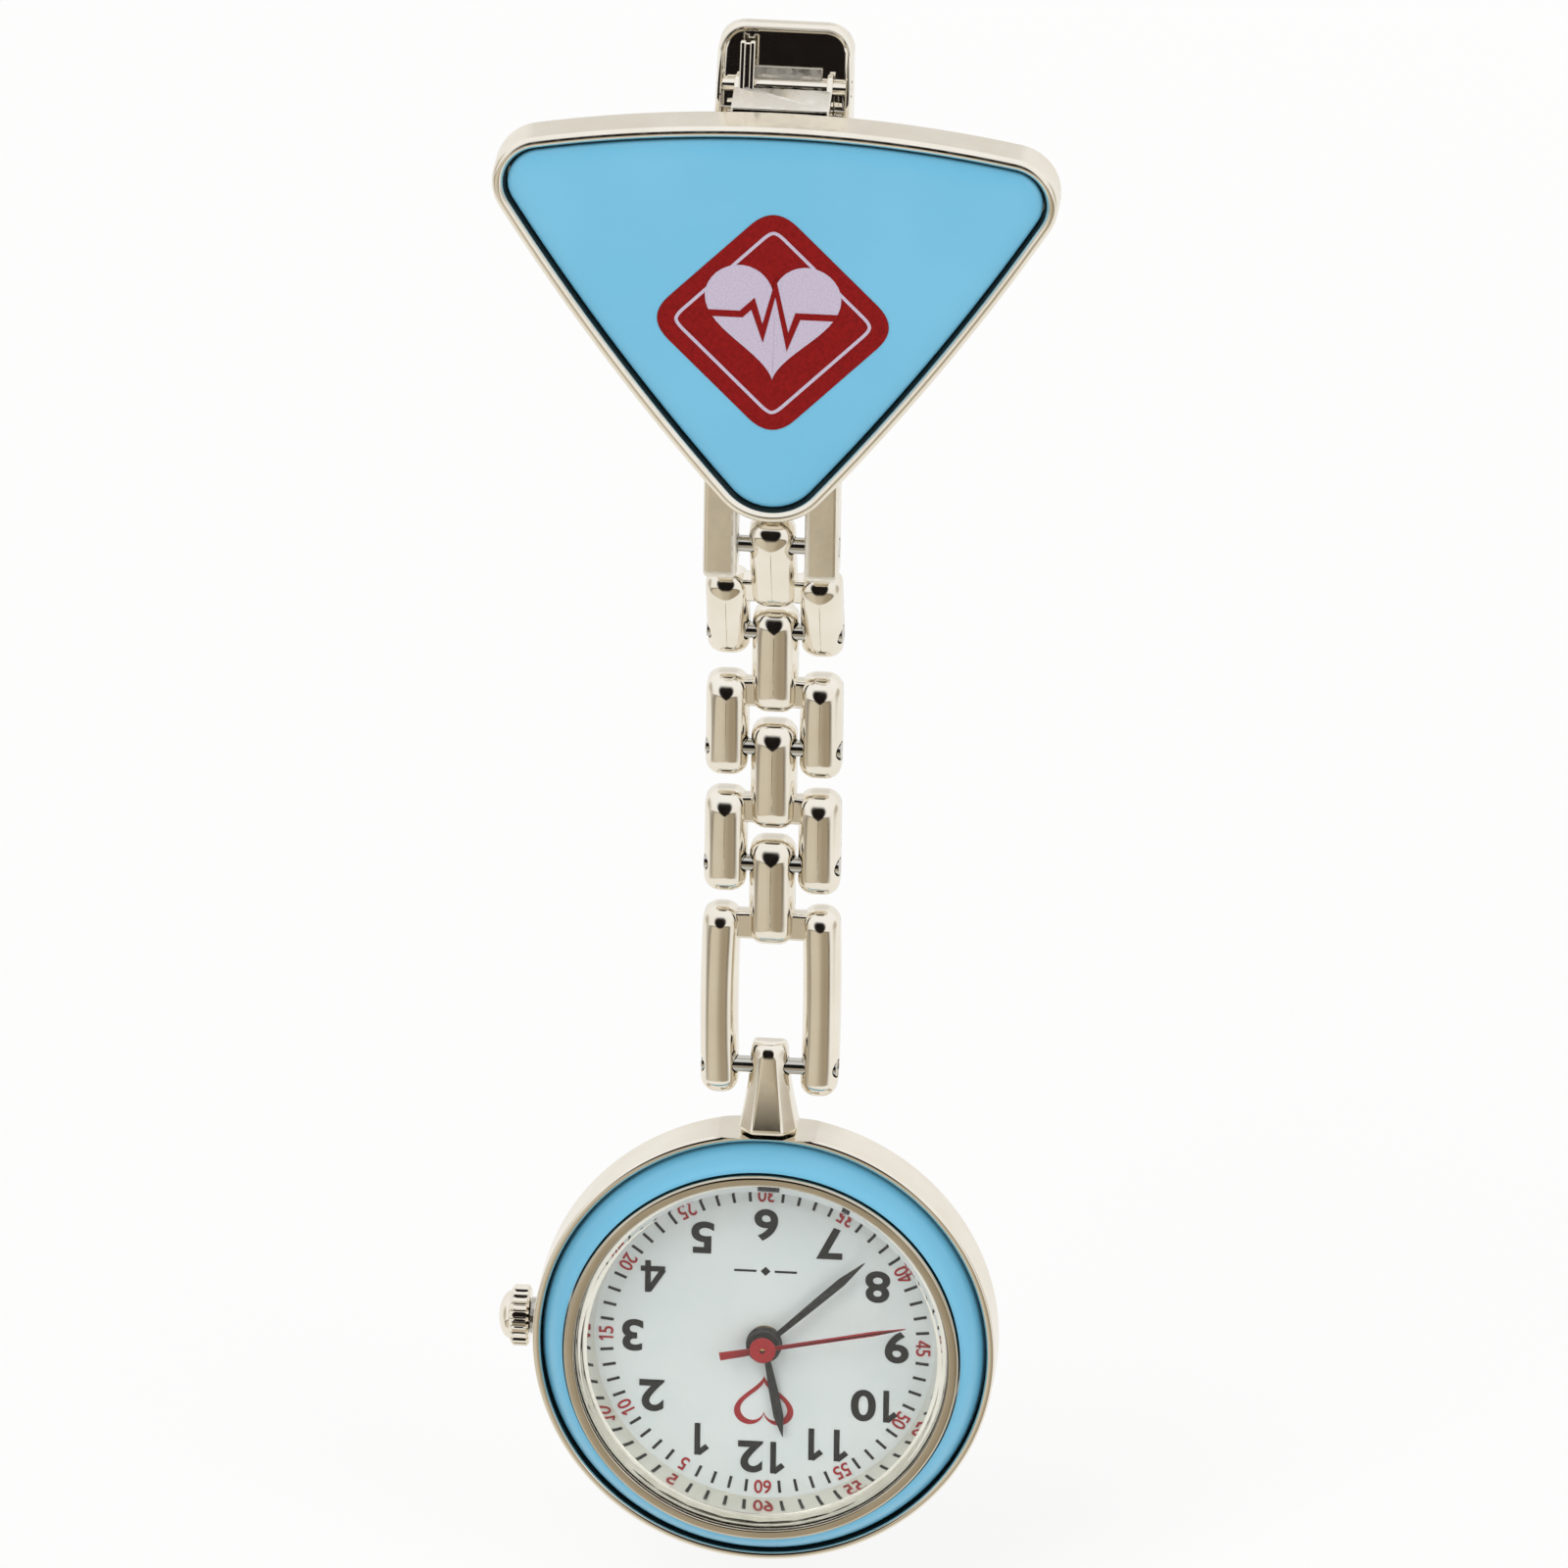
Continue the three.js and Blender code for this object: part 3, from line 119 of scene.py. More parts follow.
link.update({"dome": 1.0, "corner": 0.95, "camber": 0.26, "steps": 12})
web = {"inset": 0.4, "front": 1.35, "back": 0.25, "overlap": 0.3, "lower_overlap": 0.35}
rivet_hole = {"radius": 0.55, "depth": 0.9, "over": 1.5}
tray = {"corner": 1.6, "foot": 1.9, "jaw": 1.8, "tooth": 0.25, "lean": 0.27, "depth": 4.9}
tray.update({"rim_top": 0.75, "rim_slope": 0.6, "wall": 0.32})
ring = {"outer": 13.45, "inner": 12.05, "outer_y": -1, "inner_y": -2.9, "crown": 0.35}
bezel = {"radius": 11.95, "inner": 10.9, "glass": 11.3, "front": -3.3, "ledge": -1.95}
glass = {"radius": 11.25, "front": -3.2, "back": -2.15, "edge": 0.32}
flange = {"foot": 10.3, "top": 10.6, "outer": 10.85, "top_y": -2.1}
bail = {"half": 1.12, "deep": 1.9, "facet": 0.42, "dome": 0.95, "skirt": 0.32}
figures = {"hour": 2.08, "hour_reach": 7.65, "minute": 0.88, "minute_reach": 9.6}
ink_rise = 0.03
time_shown = {"hour": 11, "minute": 37, "second": 43}


# --- mesh code


def counterclockwise(points):
    area = 0.0
    for (x0, y0), (x1, y1) in zip(points, points[1:] + points[:1]):
        area += x0 * y1 - x1 * y0
    return points if area > 0 else points[::-1]


def rounded(points, radius, steps=4, closed=True):
    """The outline with its corners rounded."""
    count = len(points)
    made = []
    for index, point in enumerate(points):
        if not closed and index in (0, count - 1):
            made.append(tuple(point))
            continue
        corner = Vector(point)
        before = Vector(points[index - 1]) - corner
        after = Vector(points[(index + 1) % count]) - corner
        reach = min(radius, before.length * 0.48, after.length * 0.48)
        start = corner + before.normalized() * reach
        end = corner + after.normalized() * reach
        for step in range(steps + 1):
            t = step / steps
            made.append(tuple(start * (1 - t) ** 2 + corner * 2 * t * (1 - t) + end * t * t))
    return made


def inset(points, distance):
    """A counterclockwise outline moved inwards."""
    made = []
    for index, point in enumerate(points):
        here = Vector(point)
        into = (here - Vector(points[index - 1])).normalized()
        out = (Vector(points[(index + 1) % len(points)]) - here).normalized()
        first = Vector((-into.y, into.x))
        second = Vector((-out.y, out.x))
        mitre = (first + second) / max(1 + first.dot(second), 0.2)
        made.append(tuple(here + mitre * distance))
    return made


def lifted(outline, along, axis_name):
    """Points of a flat outline, set along X, Y or Z."""
    if axis_name == "X":
        return [(along, u, v) for u, v in outline]
    if axis_name == "Y":
        return [(u, along, v) for u, v in outline]
    return [(u, v, along) for u, v in outline]


def loft(rings, wrap=False):
    """Vertices and faces of the solid through rings of as many points each."""
    count = len(rings[0])
    vertices = [point for one in rings for point in one]
    faces = []
    for index in range(len(rings) if wrap else len(rings) - 1):
        first = index * count
        second = (index + 1) % len(rings) * count
        for step in range(count):
            following = (step + 1) % count
            faces.append((first + step, first + following, second + following, second + step))
    if not wrap:
        faces.append(tuple(range(count)))
        faces.append(tuple(range((len(rings) - 1) * count, len(rings) * count)))
    return vertices, faces


def solid(outline, profile, axis_name="Y"):
    """A loft of one outline, moved inwards by each profile point's first number."""
    outline = counterclockwise(outline)
    return loft([lifted(inset(outline, inward), along, axis_name) for inward, along in profile])


def edge_profile(low, high, edge):
    """Profile points of a plate whose two rims are rounded."""
    steps = 3
    points = []
    for step in range(steps + 1):
        turn = math.pi / 2 * step / steps
        points.append((edge * (1 - math.sin(turn)), low + edge * (1 - math.cos(turn))))
    return points + [(inward, low + high - along) for inward, along in reversed(points)]


def plate(outline, low, high, axis_name, edge):
    return solid(outline, edge_profile(low, high, edge), axis_name)


def rectangle(u0, u1, v0, v1):
    return [(u0, v0), (u1, v0), (u1, v1), (u0, v1)]


def block(x, y, z, corner, edge):
    return plate(rounded(rectangle(*x, *z), corner), *y, "Y", edge)


def turned(profile, centre, axis_name="Y", segments=TURN, wrap=False, ripple=None):
    """A turned solid. The profile holds (radius, place along the axis)."""
    rings = []
    for radius, along in profile:
        points = []
        for index in range(segments):
            turn = 2 * math.pi * index / segments
            reach = radius - ripple(index / segments, along) if ripple else radius
            points.append((reach * math.cos(turn), reach * math.sin(turn)))
        if axis_name == "X":
            rings.append([(along, centre.y + u, centre.z + v) for u, v in points])
        else:
            rings.append([(centre.x + u, along, centre.z + v) for u, v in points])
    return loft(rings, wrap)


def rod(radius, low, high, centre, axis_name="X", edge=0.06, segments=48):
    profile = [(radius - inward, along) for inward, along in edge_profile(low, high, edge)]
    return turned(profile, centre, axis_name, segments)


def bore(radius, centre, low=-6, high=6, axis_name="X", segments=32):
    """A cutter for a round hole, by default right across the object."""
    return rod(radius, low, high, centre, axis_name, 0.02, segments)


def rivet_holes():
    low = badge_back - rivet_hole["depth"]
    high = badge_back + rivet_hole["over"]
    return [bore(rivet_hole["radius"], middle(name), low, high, "Y", 24) for name in RIVETS]


def moved(shape, matrix):
    vertices, faces = shape
    return [matrix @ Vector(point) for point in vertices], faces


def merged(*shapes):
    vertices, faces = [], []
    for more_vertices, more_faces in shapes:
        start = len(vertices)
        vertices.extend(more_vertices)
        faces.extend(tuple(start + index for index in face) for face in more_faces)
    return vertices, faces


def new_object(name, shape):
    vertices, faces = shape
    mesh = bpy.data.meshes.new(name)
    mesh.from_pydata([Vector(point) * MM for point in vertices], [], faces)
    work = bmesh.new()
    work.from_mesh(mesh)
    bmesh.ops.recalc_face_normals(work, faces=work.faces)
    work.to_mesh(mesh)
    work.free()
    made = bpy.data.objects.new(name, mesh)
    bpy.context.scene.collection.objects.link(made)
    return made


def smooth(made, degrees):
    made.data.polygons.foreach_set("use_smooth", [True] * len(made.data.polygons))
    made.data.set_sharp_from_angle(angle=math.radians(degrees))
    made.data.update()


def apply_modifiers(made):
    graph = bpy.context.evaluated_depsgraph_get()
    mesh = bpy.data.meshes.new_from_object(made.evaluated_get(graph))
    made.modifiers.clear()
    made.data = mesh


def carved(shape, *cutters):
    """The union of a shape's overlapping parts, less the cutters."""
    work = new_object("work", shape)
    tool = new_object("tool", merged(*cutters))
    cut = work.modifiers.new("cut", "BOOLEAN")
    cut.operation = "DIFFERENCE"
    cut.solver = "EXACT"
    cut.use_self = True
    cut.object = tool
    apply_modifiers(work)
    vertices = [tuple(vertex.co / MM) for vertex in work.data.vertices]
    faces = [tuple(polygon.vertices) for polygon in work.data.polygons]
    for used in (work, tool):
        bpy.data.objects.remove(used)
    return vertices, faces


def paint(made, look, test):
    """A second material on the faces that a test of centre and normal picks."""
    made.data.materials.append(looks[look])
    slot = len(made.data.materials) - 1
    for polygon in made.data.polygons:
        if test(polygon.center / MM, polygon.normal):
            polygon.material_index = slot


def piece(name, shape, body, look, node=None, degrees=32):
    """A finished piece that rides on a body and may stand for a CAD node."""
    made = new_object(name, shape)
    made.data.materials.append(looks[look])
    smooth(made, degrees)
    even = made.modifiers.new("even", "WEIGHTED_NORMAL")
    even.keep_sharp = True
    if body:
        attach(made, body)
    if node:
        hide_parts(node)
    return made


# --- materials


def linear(red, green, blue):
    """A colour written as 0 to 255 values, as the shader's linear numbers."""
    def one(value):
        share = value / 255
        return share / 12.92 if share <= 0.04045 else ((share + 0.055) / 1.055) ** 2.4
    return (one(red), one(green), one(blue), 1.0)


class Tree:
    """Short calls for a node tree. An input takes a number, a colour or another node's output."""

    def __init__(self, tree):
        self.nodes = tree.nodes
        self.links = tree.links

    def put(self, socket, value):
        if isinstance(value, (int, float, tuple)):
            socket.default_value = value
        else:
            self.links.new(value, socket)

    def add(self, kind, output, inputs, **settings):
        """A new node's output."""
        node = self.nodes.new("ShaderNode" + kind)
        for key, value in settings.items():
            setattr(node, key, value)
        for key, value in inputs.items():
            self.put(node.inputs[key], value)
        return node.outputs[output]

    def __call__(self, operation, first, second=0.0):
        return self.add("Math", "Value", {0: first, 1: second}, operation=operation)

    def spread(self, value, low, high, start=0.35, stop=0.65, kind="LINEAR"):
        inputs = {"Value": value, "From Min": start, "From Max": stop, "To Min": low, "To Max": high}
        return self.add("MapRange", "Result", inputs, interpolation_type=kind)

    def fade(self, value, start, stop):
        return self.spread(value, 0.0, 1.0, start, stop, "SMOOTHSTEP")

    def mix(self, share, first, second):
        return self.add("Mix", "Result", {"Factor": share, "A": first, "B": second}, data_type="RGBA")

    def ray(self, kind):
        return self.add("LightPath", f"Is {kind} Ray", {})

    def surface(self, share, first, second, output):
        """The output shows a mix of two shaders."""
        both = self.add("MixShader", "Shader", {0: share, 1: first, 2: second})
        self.links.new(both, output.inputs["Surface"])


class Finish(Tree):
    """A material's node tree, with short calls for its usual layers."""

    def __init__(self, name, colour, roughness, metallic=0.0):
        self.material = bpy.data.materials.new(name)
        self.material.use_nodes = True
        super().__init__(self.material.node_tree)
        self.shader = self.nodes["Principled BSDF"]
        self.colour = colour
        self.shader.inputs["Base Color"].default_value = colour
        self.shader.inputs["Roughness"].default_value = roughness
        self.shader.inputs["Metallic"].default_value = metallic
        self.place = self.add("TexCoord", "Object", {})
        self.last_normal = None

    def noise(self, per_mm, detail, distortion=0.0, stretch=None):
        source = self.place
        if stretch:
            source = self.add("Mapping", "Vector", {"Vector": source, "Scale": stretch})
        inputs = {"Vector": source, "Scale": per_mm / MM, "Detail": detail, "Distortion": distortion}
        return self.add("TexNoise", "Fac", inputs)

    def roughness(self, value, low, high):
        self.links.new(self.spread(value, low, high), self.shader.inputs["Roughness"])

    def tint(self, value, other, most):
        """The base colour drifts towards another colour."""
        colour = self.mix(self.spread(value, 0.0, most), self.colour, other)
        self.links.new(colour, self.shader.inputs["Base Color"])

    def bump(self, value, depth_mm):
        inputs = {"Strength": 1.0, "Distance": depth_mm * MM, "Height": value}
        if self.last_normal is not None:
            inputs["Normal"] = self.last_normal
        self.last_normal = self.add("Bump", "Normal", inputs)
        self.links.new(self.last_normal, self.shader.inputs["Normal"])

    def layers(self, shade, most, rough, depth_mm, tint, gloss=None, relief=None):
        """Colour, roughness and relief, from one pattern or from three."""
        self.tint(tint, shade, most)
        self.roughness(gloss or tint, *rough)
        self.bump(relief or tint, depth_mm)
        return self.material


def metal(name, colour, dark, roughness, waves=0.0012):
    """Polished plated metal: faint waves and fine scratches."""
    finish = Finish(name, colour, roughness, 1.0)
    patterns = finish.noise(0.35, 4.0), finish.noise(1.7, 5.0, 0.6), finish.noise(0.55, 2.0)
    finish.layers(dark, 0.3, (roughness * 0.6, roughness * 1.5), waves, *patterns)
    finish.bump(finish.noise(9.0, 3.0, 0.0, (1.0, 1.0, 0.25)), waves * 0.02)
    return finish.material


def brushed(name, colour, dark, roughness, stretch):
    """Metal with a drawn or turned grain."""
    finish = Finish(name, colour, roughness, 1.0)
    grain = finish.noise(6.0, 4.0, 0.0, stretch)
    return finish.layers(dark, 0.55, (roughness * 0.8, roughness * 1.3), 0.004, grain)


def enamel(name, colour, shade):
    """Glossy moulded colour with a soft clear surface and faint ripples."""
    finish = Finish(name, colour, 0.36)
    finish.shader.inputs["Coat Weight"].default_value = 0.3
    finish.shader.inputs["Coat Roughness"].default_value = 0.15
    patterns = finish.noise(0.12, 2.0), finish.noise(1.2, 3.0), finish.noise(0.22, 1.0)
    return finish.layers(shade, 0.7, (0.3, 0.42), 0.004, *patterns)


def printed(name, colour, shade, speckle=12.0, roughness=0.45):
    """A printed or painted layer, slightly grainy."""
    finish = Finish(name, colour, roughness)
    finish.shader.inputs["Specular IOR Level"].default_value = 0.15
    grain = finish.noise(speckle, 5.0)
    return finish.layers(shade, 0.8, (roughness * 0.8, roughness * 1.25), 0.004, grain)


def moulded(name, colour, shade, roughness):
    """Plain moulded plastic or rubber."""
    finish = Finish(name, colour, roughness)
    patterns = finish.noise(1.1, 4.0), finish.noise(4.0, 3.0), finish.noise(8.0, 4.0)
    return finish.layers(shade, 0.7, (roughness * 0.85, roughness * 1.2), 0.004, *patterns)


def crystal_glass():
    """Clear glass that lets lamp light through to the dial."""
    clear_colour = linear(252, 254, 253)
    finish = Finish("glass", clear_colour, 0.02)
    finish.shader.inputs["Transmission Weight"].default_value = 1.0
    finish.shader.inputs["IOR"].default_value = 1.46
    finish.shader.inputs["Specular IOR Level"].default_value = 0.2
    finish.roughness(finish.noise(0.8, 3.0), 0.012, 0.03)
    finish.bump(finish.noise(0.2, 1.0), 0.0006)
    clear = finish.add("BsdfTransparent", "BSDF", {"Color": clear_colour})
    output = finish.nodes["Material Output"]
    finish.surface(finish.ray("Shadow"), finish.shader.outputs["BSDF"], clear, output)
    return finish.material


def dial_paint():
    """Satin white dial paint with a very fine grain."""
    finish = Finish("dial_white", linear(230, 234, 234), 0.42)
    patterns = finish.noise(0.25, 3.0), finish.noise(6.0, 3.0), finish.noise(18.0, 3.0)
    return finish.layers(linear(222, 228, 229), 0.8, (0.36, 0.5), 0.0012, *patterns)


def wound_wire():
    """Lacquered copper wire, wound round the coil's core."""
    finish = Finish("copper", linear(186, 96, 52), 0.28, 1.0)
    grain = finish.noise(3.0, 2.0, 0.0, (6.0, 1.0, 1.0))
    return finish.layers(linear(120, 52, 28), 0.8, (0.22, 0.4), 0.03, grain)


WHITE = (1.0, 1.0, 1.0, 1.0)
NICKEL = linear(243, 238, 228)
NICKEL_DARK = linear(226, 217, 200)
STEEL = linear(205, 203, 198)
STEEL_DARK = linear(165, 162, 156)
looks = {
    "nickel": metal("nickel", NICKEL, NICKEL_DARK, 0.07),
    "nickel_cast": metal("nickel_cast", NICKEL, NICKEL_DARK, 0.09, 0.003),
    "nickel_satin": metal("nickel_satin", linear(236, 232, 224), linear(224, 217, 204), 0.4),
    "nickel_soft": metal("nickel_soft", linear(252, 250, 244), NICKEL, 0.5, 0.0004),
    "nickel_frame": metal("nickel_frame", NICKEL, NICKEL_DARK, 0.17, 0.0004),
    "bezel_steel": metal("bezel_steel", linear(206, 198, 182), linear(178, 168, 150), 0.12),
    # Painted shade: a near-black colour put on the recessed walls of the case's groove and the badge's
    # pocket. It stands in for their shadow and dark reflection.
    "painted_groove_shade": moulded("painted_groove_shade", linear(14, 22, 22), linear(22, 30, 28), 0.35),
    "steel": brushed("steel", STEEL, STEEL_DARK, 0.3, (1.0, 1.0, 0.12)),
    "steel_bright": metal("steel_bright", STEEL, STEEL_DARK, 0.12),
    "steel_satin": metal("steel_satin", linear(225, 223, 218), STEEL, 0.42),
    "blue_enamel": enamel("blue_enamel", linear(108, 184, 217), linear(115, 188, 220)),
    "glass": crystal_glass(),
    "dial_white": dial_paint(),
    "black": printed("black", linear(8, 8, 9), linear(18, 18, 20)),
    "hand_black": printed("hand_black", linear(26, 26, 27), linear(46, 44, 42), 5.0, 0.3),
    "red": printed("red", linear(172, 28, 36), linear(150, 22, 30), 8.0, 0.38),
    "badge_red": printed("badge_red", linear(138, 14, 14), linear(116, 10, 10), 5.0, 0.5),
    "print_white": printed("print_white", linear(196, 186, 202), linear(176, 164, 186), 9.0),
    "rubber": moulded("rubber", linear(32, 32, 34), linear(50, 50, 52), 0.7),
    "plastic": moulded("plastic", linear(226, 222, 208), linear(208, 202, 186), 0.45),
    "board": moulded("board", linear(28, 84, 52), linear(20, 64, 40), 0.35),
    "brass": brushed("brass", linear(206, 172, 100), linear(160, 124, 62), 0.26, (1.0, 1.0, 1.0)),
    "copper": wound_wire(),
}


# --- badge


def arc(centre, radius, start, stop, steps):
    x, y = centre
    turns = [start + (stop - start) * step / steps for step in range(steps + 1)]
    return [(x + radius * math.cos(turn), y + radius * math.sin(turn)) for turn in turns]


def badge_outline():
    """The rounded triangle with slightly bowed sides, as (x, z)."""
    corner_r, tip_r = badge["corner"], badge["tip"]
    width = badge_high.x - badge_low.x
    top_z = badge_high.z - badge["top_arc"]
    tip_z = pins[0].z + 2 + tip_r
    corner_x = width / 2 - corner_r
    corner_z = top_z + math.sqrt((badge["top_arc"] - corner_r) ** 2 - corner_x**2)
    corner = Vector((corner_x, corner_z))
    tip = Vector((0, tip_z))
    top = Vector((0, top_z))
    to_corner = corner - tip
    reach = to_corner.length
    from_tip = badge["side_arc"] - tip_r
    from_corner = badge["side_arc"] - corner_r
    along = (from_tip**2 - from_corner**2 + reach**2) / (2 * reach)
    across = math.sqrt(from_tip**2 - along**2)
    unit = to_corner.normalized()
    side = tip + unit * along + Vector((-unit.y, unit.x)) * across
    to_tip = math.atan2(tip.y - side.y, tip.x - side.x)
    side_turn = math.atan2(corner.y - side.y, corner.x - side.x)
    top_turn = math.atan2(corner.y - top.y, corner.x - top.x)
    right = arc(tip, tip_r, -math.pi / 2, to_tip, 12)
    right += arc(side, badge["side_arc"], to_tip, side_turn, 24)[1:]
    right += arc(corner, corner_r, side_turn, top_turn, 20)[1:]
    right += arc(top, badge["top_arc"], top_turn, math.pi / 2, 24)[1:]
    left = [(-x, z) for x, z in reversed(right[1:-1])]
    return right + left


BADGE_OUTLINE = badge_outline()


def quarter(inward, along, size_in, size_along, steps=ARC):
    """Profile points over a rounded edge, from a wall to a face."""
    points = []
    for step in range(steps + 1):
        turn = math.pi / 2 * step / steps
        points.append((inward + size_in * (1 - math.cos(turn)), along + size_along * math.sin(turn)))
    return points


def make_badge_frame():
    inner = badge["lip"] + badge["bevel"]
    edge = badge["edge"]
    front = badge_front
    back = badge_back
    profile = [(inner, front + badge["pocket"]), (inner, front + badge["bevel_depth"])]
    profile += [(inner - badge["bevel"] * 0.5, front + badge["bevel_depth"] * 0.42)]
    profile += [(badge["lip"] + 0.05, front + 0.06), (badge["lip"] - 0.02, front + 0.01)]
    profile += list(reversed(quarter(0, front + edge, edge, -edge, 5)))
    profile += quarter(0, back - edge, edge, edge, 5)
    body = solid(BADGE_OUTLINE, profile)
    y, z = pins[0].y, pins[0].z
    half = lug["outer"] / 2
    side_view = rectangle(y - lug["thick"] / 2, y + lug["thick"] / 2, z - lug["tail"], z + lug["rise"] + 2)
    side_view = rounded(side_view, 0.5, 6)
    lugs = [plate(side_view, x, x + lug["width"], "X", 0.3) for x in (-half, half - lug["width"])]
    spare = 0.015
    room = [(inner + spare, front + badge["pocket"] - 0.01), (inner + spare, front + badge["bevel_depth"])]
    room += [(badge["lip"] + spare, front), (badge["lip"] + spare, front - 0.5)]
    lug_shape = carved(merged(*lugs), solid(BADGE_OUTLINE, room))
    shape = carved(merged(body, lug_shape), bore(pin_radius + hinge_play, pins[0]), *rivet_holes())
    made = piece("badge_frame_shell", shape, "badge", "nickel_frame", "badge_frame")
    heart = middle("badge_inlay")

    # Painted shade: the pocket's inner wall faces get the near-black colour, for the shadow and dark
    # reflection between the rim and the inlay.
    def in_groove(place, normal):
        inward = (heart.x - place.x) * normal.x + (heart.z - place.z) * normal.z
        return front + 0.16 < place.y < front + badge["pocket"] and inward > 0

    def on_lug(place, _):
        return place.z < z + 1.2 and place.y < y

    paint(made, "painted_groove_shade", in_groove)
    paint(made, "nickel_soft", on_lug)


def make_inlay():
    inner = badge["lip"] + badge["bevel"] + inlay["gap"]
    floor = badge_front + badge["pocket"]
    wall_top = badge_front + badge["bevel_depth"]
    profile = [(inner, floor - 0.02), (inner, wall_top + inlay["edge"])]
    profile += quarter(inner, wall_top, inlay["dome"], -inlay["rise"], 14)
    shape = solid(BADGE_OUTLINE, profile)
    piece("badge_inlay_enamel", shape, "badge", "blue_enamel", "badge_inlay")
    return wall_top - inlay["rise"]


def heart_outline(size, steps):
    """A plain heart, its width the given size."""
    points = []
    for step in range(steps):
        t = 2 * math.pi * step / steps
        u = 16 * math.sin(t) ** 3
        v = 13 * math.cos(t) - 5 * math.cos(2 * t) - 2 * math.cos(3 * t) - math.cos(4 * t)
        points.append((u * size / 32, (v + 2.4) * size / 32))
    return counterclockwise(points)


def stroke(points, width):
    """A closed outline round an open line of points."""
    left, right = [], []
    for index, point in enumerate(points):
        before = Vector(points[max(index - 1, 0)])
        after = Vector(points[min(index + 1, len(points) - 1)])
        here = Vector(point)
        first = (here - before).normalized() if index else (after - here).normalized()
        second = (after - here).normalized() if index < len(points) - 1 else first
        normal = Vector((-(first + second).y, (first + second).x)).normalized()
        reach = width / 2 / max(normal.dot(Vector((-first.y, first.x))), 0.35)
        left.append(tuple(here + normal * reach))
        right.append(tuple(here - normal * reach))
    return counterclockwise(left + right[::-1])


def raised(points, z):
    return [(u, v + z) for u, v in points]


def band(outer, inner, low, high):
    """A flat closed band between two outlines."""
    rings = [lifted(outer, high, "Y"), lifted(outer, low, "Y")]
    rings += [lifted(inner, low, "Y"), lifted(inner, high, "Y")]
    return loft(rings, wrap=True)


def make_badge_emblem(face):
    """A red rounded diamond with a plain heart and a pulse line."""
    centre_z = badge_high.z - badge["lip"] - badge["bevel"] - emblem["below"]
    half = emblem["across"] / 2 + 0.62
    corners = [(0, -half), (half, 0), (0, half), (-half, 0)]
    diamond = raised(rounded(corners, emblem["corner"], 10), centre_z)
    top = face - emblem["rise"]
    red = plate(diamond, top, face + 0.1, "Y", 0.03)
    piece("badge_emblem_ground", red, "badge", "badge_red")
    outer = inset(counterclockwise(diamond), 1.05)
    frame_line = band(outer, inset(outer, 0.2), top - 0.03, top + 0.03)
    heart = plate(raised(heart_outline(8.2, 72), centre_z), top - 0.04, top + 0.03, "Y", 0.01)
    piece("badge_emblem_print", merged(frame_line, heart), "badge", "print_white")
    pulse = [(-3.9, 0.5), (-1.9, 0.5), (-1.2, 1.2), (-0.6, -0.7), (0.15, 2.3), (0.9, -1.2)]
    pulse += [(1.5, 0.5), (3.9, 0.5)]
    line = plate(raised(stroke(pulse, 0.42), centre_z), top - 0.07, top, "Y", 0.01)
    piece("badge_emblem_pulse", line, "badge", "badge_red")


# --- clip


def make_bracket():
    """A plate on the badge's back with a sloped shelf, two ears and an upright tang."""
    half = (bracket_high.x - bracket_low.x) / 2
    shelf_top = badge_high.z + 0.1
    back = badge_back + sheet
    parts = [block((-half, half), (badge_back, back), (bracket_low.z, shelf_top), 0.3, 0.1)]
    shelf_end = hinge.y - clip["shelf"]
    shelf_rise = shelf_top + clip["shelf_rise"]
    shelf = [(badge_back, shelf_top - sheet), (badge_back, shelf_top), (shelf_end, shelf_rise)]
    shelf += [(shelf_end, shelf_rise - sheet)]
    parts.append(plate(rounded(shelf, 0.12, 3), -half, half, "X", 0.12))
    for x, reach in ((-half, 0.62), (half - clip["ear"], 0.85)):
        ear = arc((hinge.y, hinge.z), reach, -math.pi / 4, math.pi * 0.7, 16)
        ear += [(shelf_end - 0.2, shelf_rise - 0.15), (badge_back + sheet / 2, shelf_top - 0.2)]
        ear += [(badge_back + sheet / 2, hinge.z - 3.7)]
        parts.append(plate(ear, x, x + clip["ear"], "X", 0.06))
    tang_x = 0.3 - half
    tang_top = bracket_high.z
    foot = shelf_rise - 0.2
    lean = (hinge.y + 0.1 - shelf_end) / (tang_top - foot)

    def tang_strip(x, wide, front, thick, top):
        near, far = shelf_end + front, shelf_end + front + thick
        shift = lean * (top - foot)
        strip = rounded([(near, foot), (far, foot), (far + shift, top), (near + shift, top)], 0.1, 3)
        return plate(strip, x, x + wide, "X", 0.08)

    for x in (tang_x, tang_x + clip["tang_gap"]):
        parts.append(tang_strip(x, clip["tang_rail"], -0.22, 0.42, tang_top))
    parts.append(tang_strip(tang_x + 0.1, clip["tang_web"], 0, 0.2, tang_top - 0.15))
    shape = carved(merged(*parts), bore(hinge_radius + hinge_play, hinge), *rivet_holes())
    made = piece("clip_bracket_sheet", shape, "badge", "nickel_satin", "clip_bracket")

    def on_tang(place, _):
        return place.z > shelf_rise + 0.03 or place.y > shelf_end + 0.3

    paint(made, "nickel", on_tang)


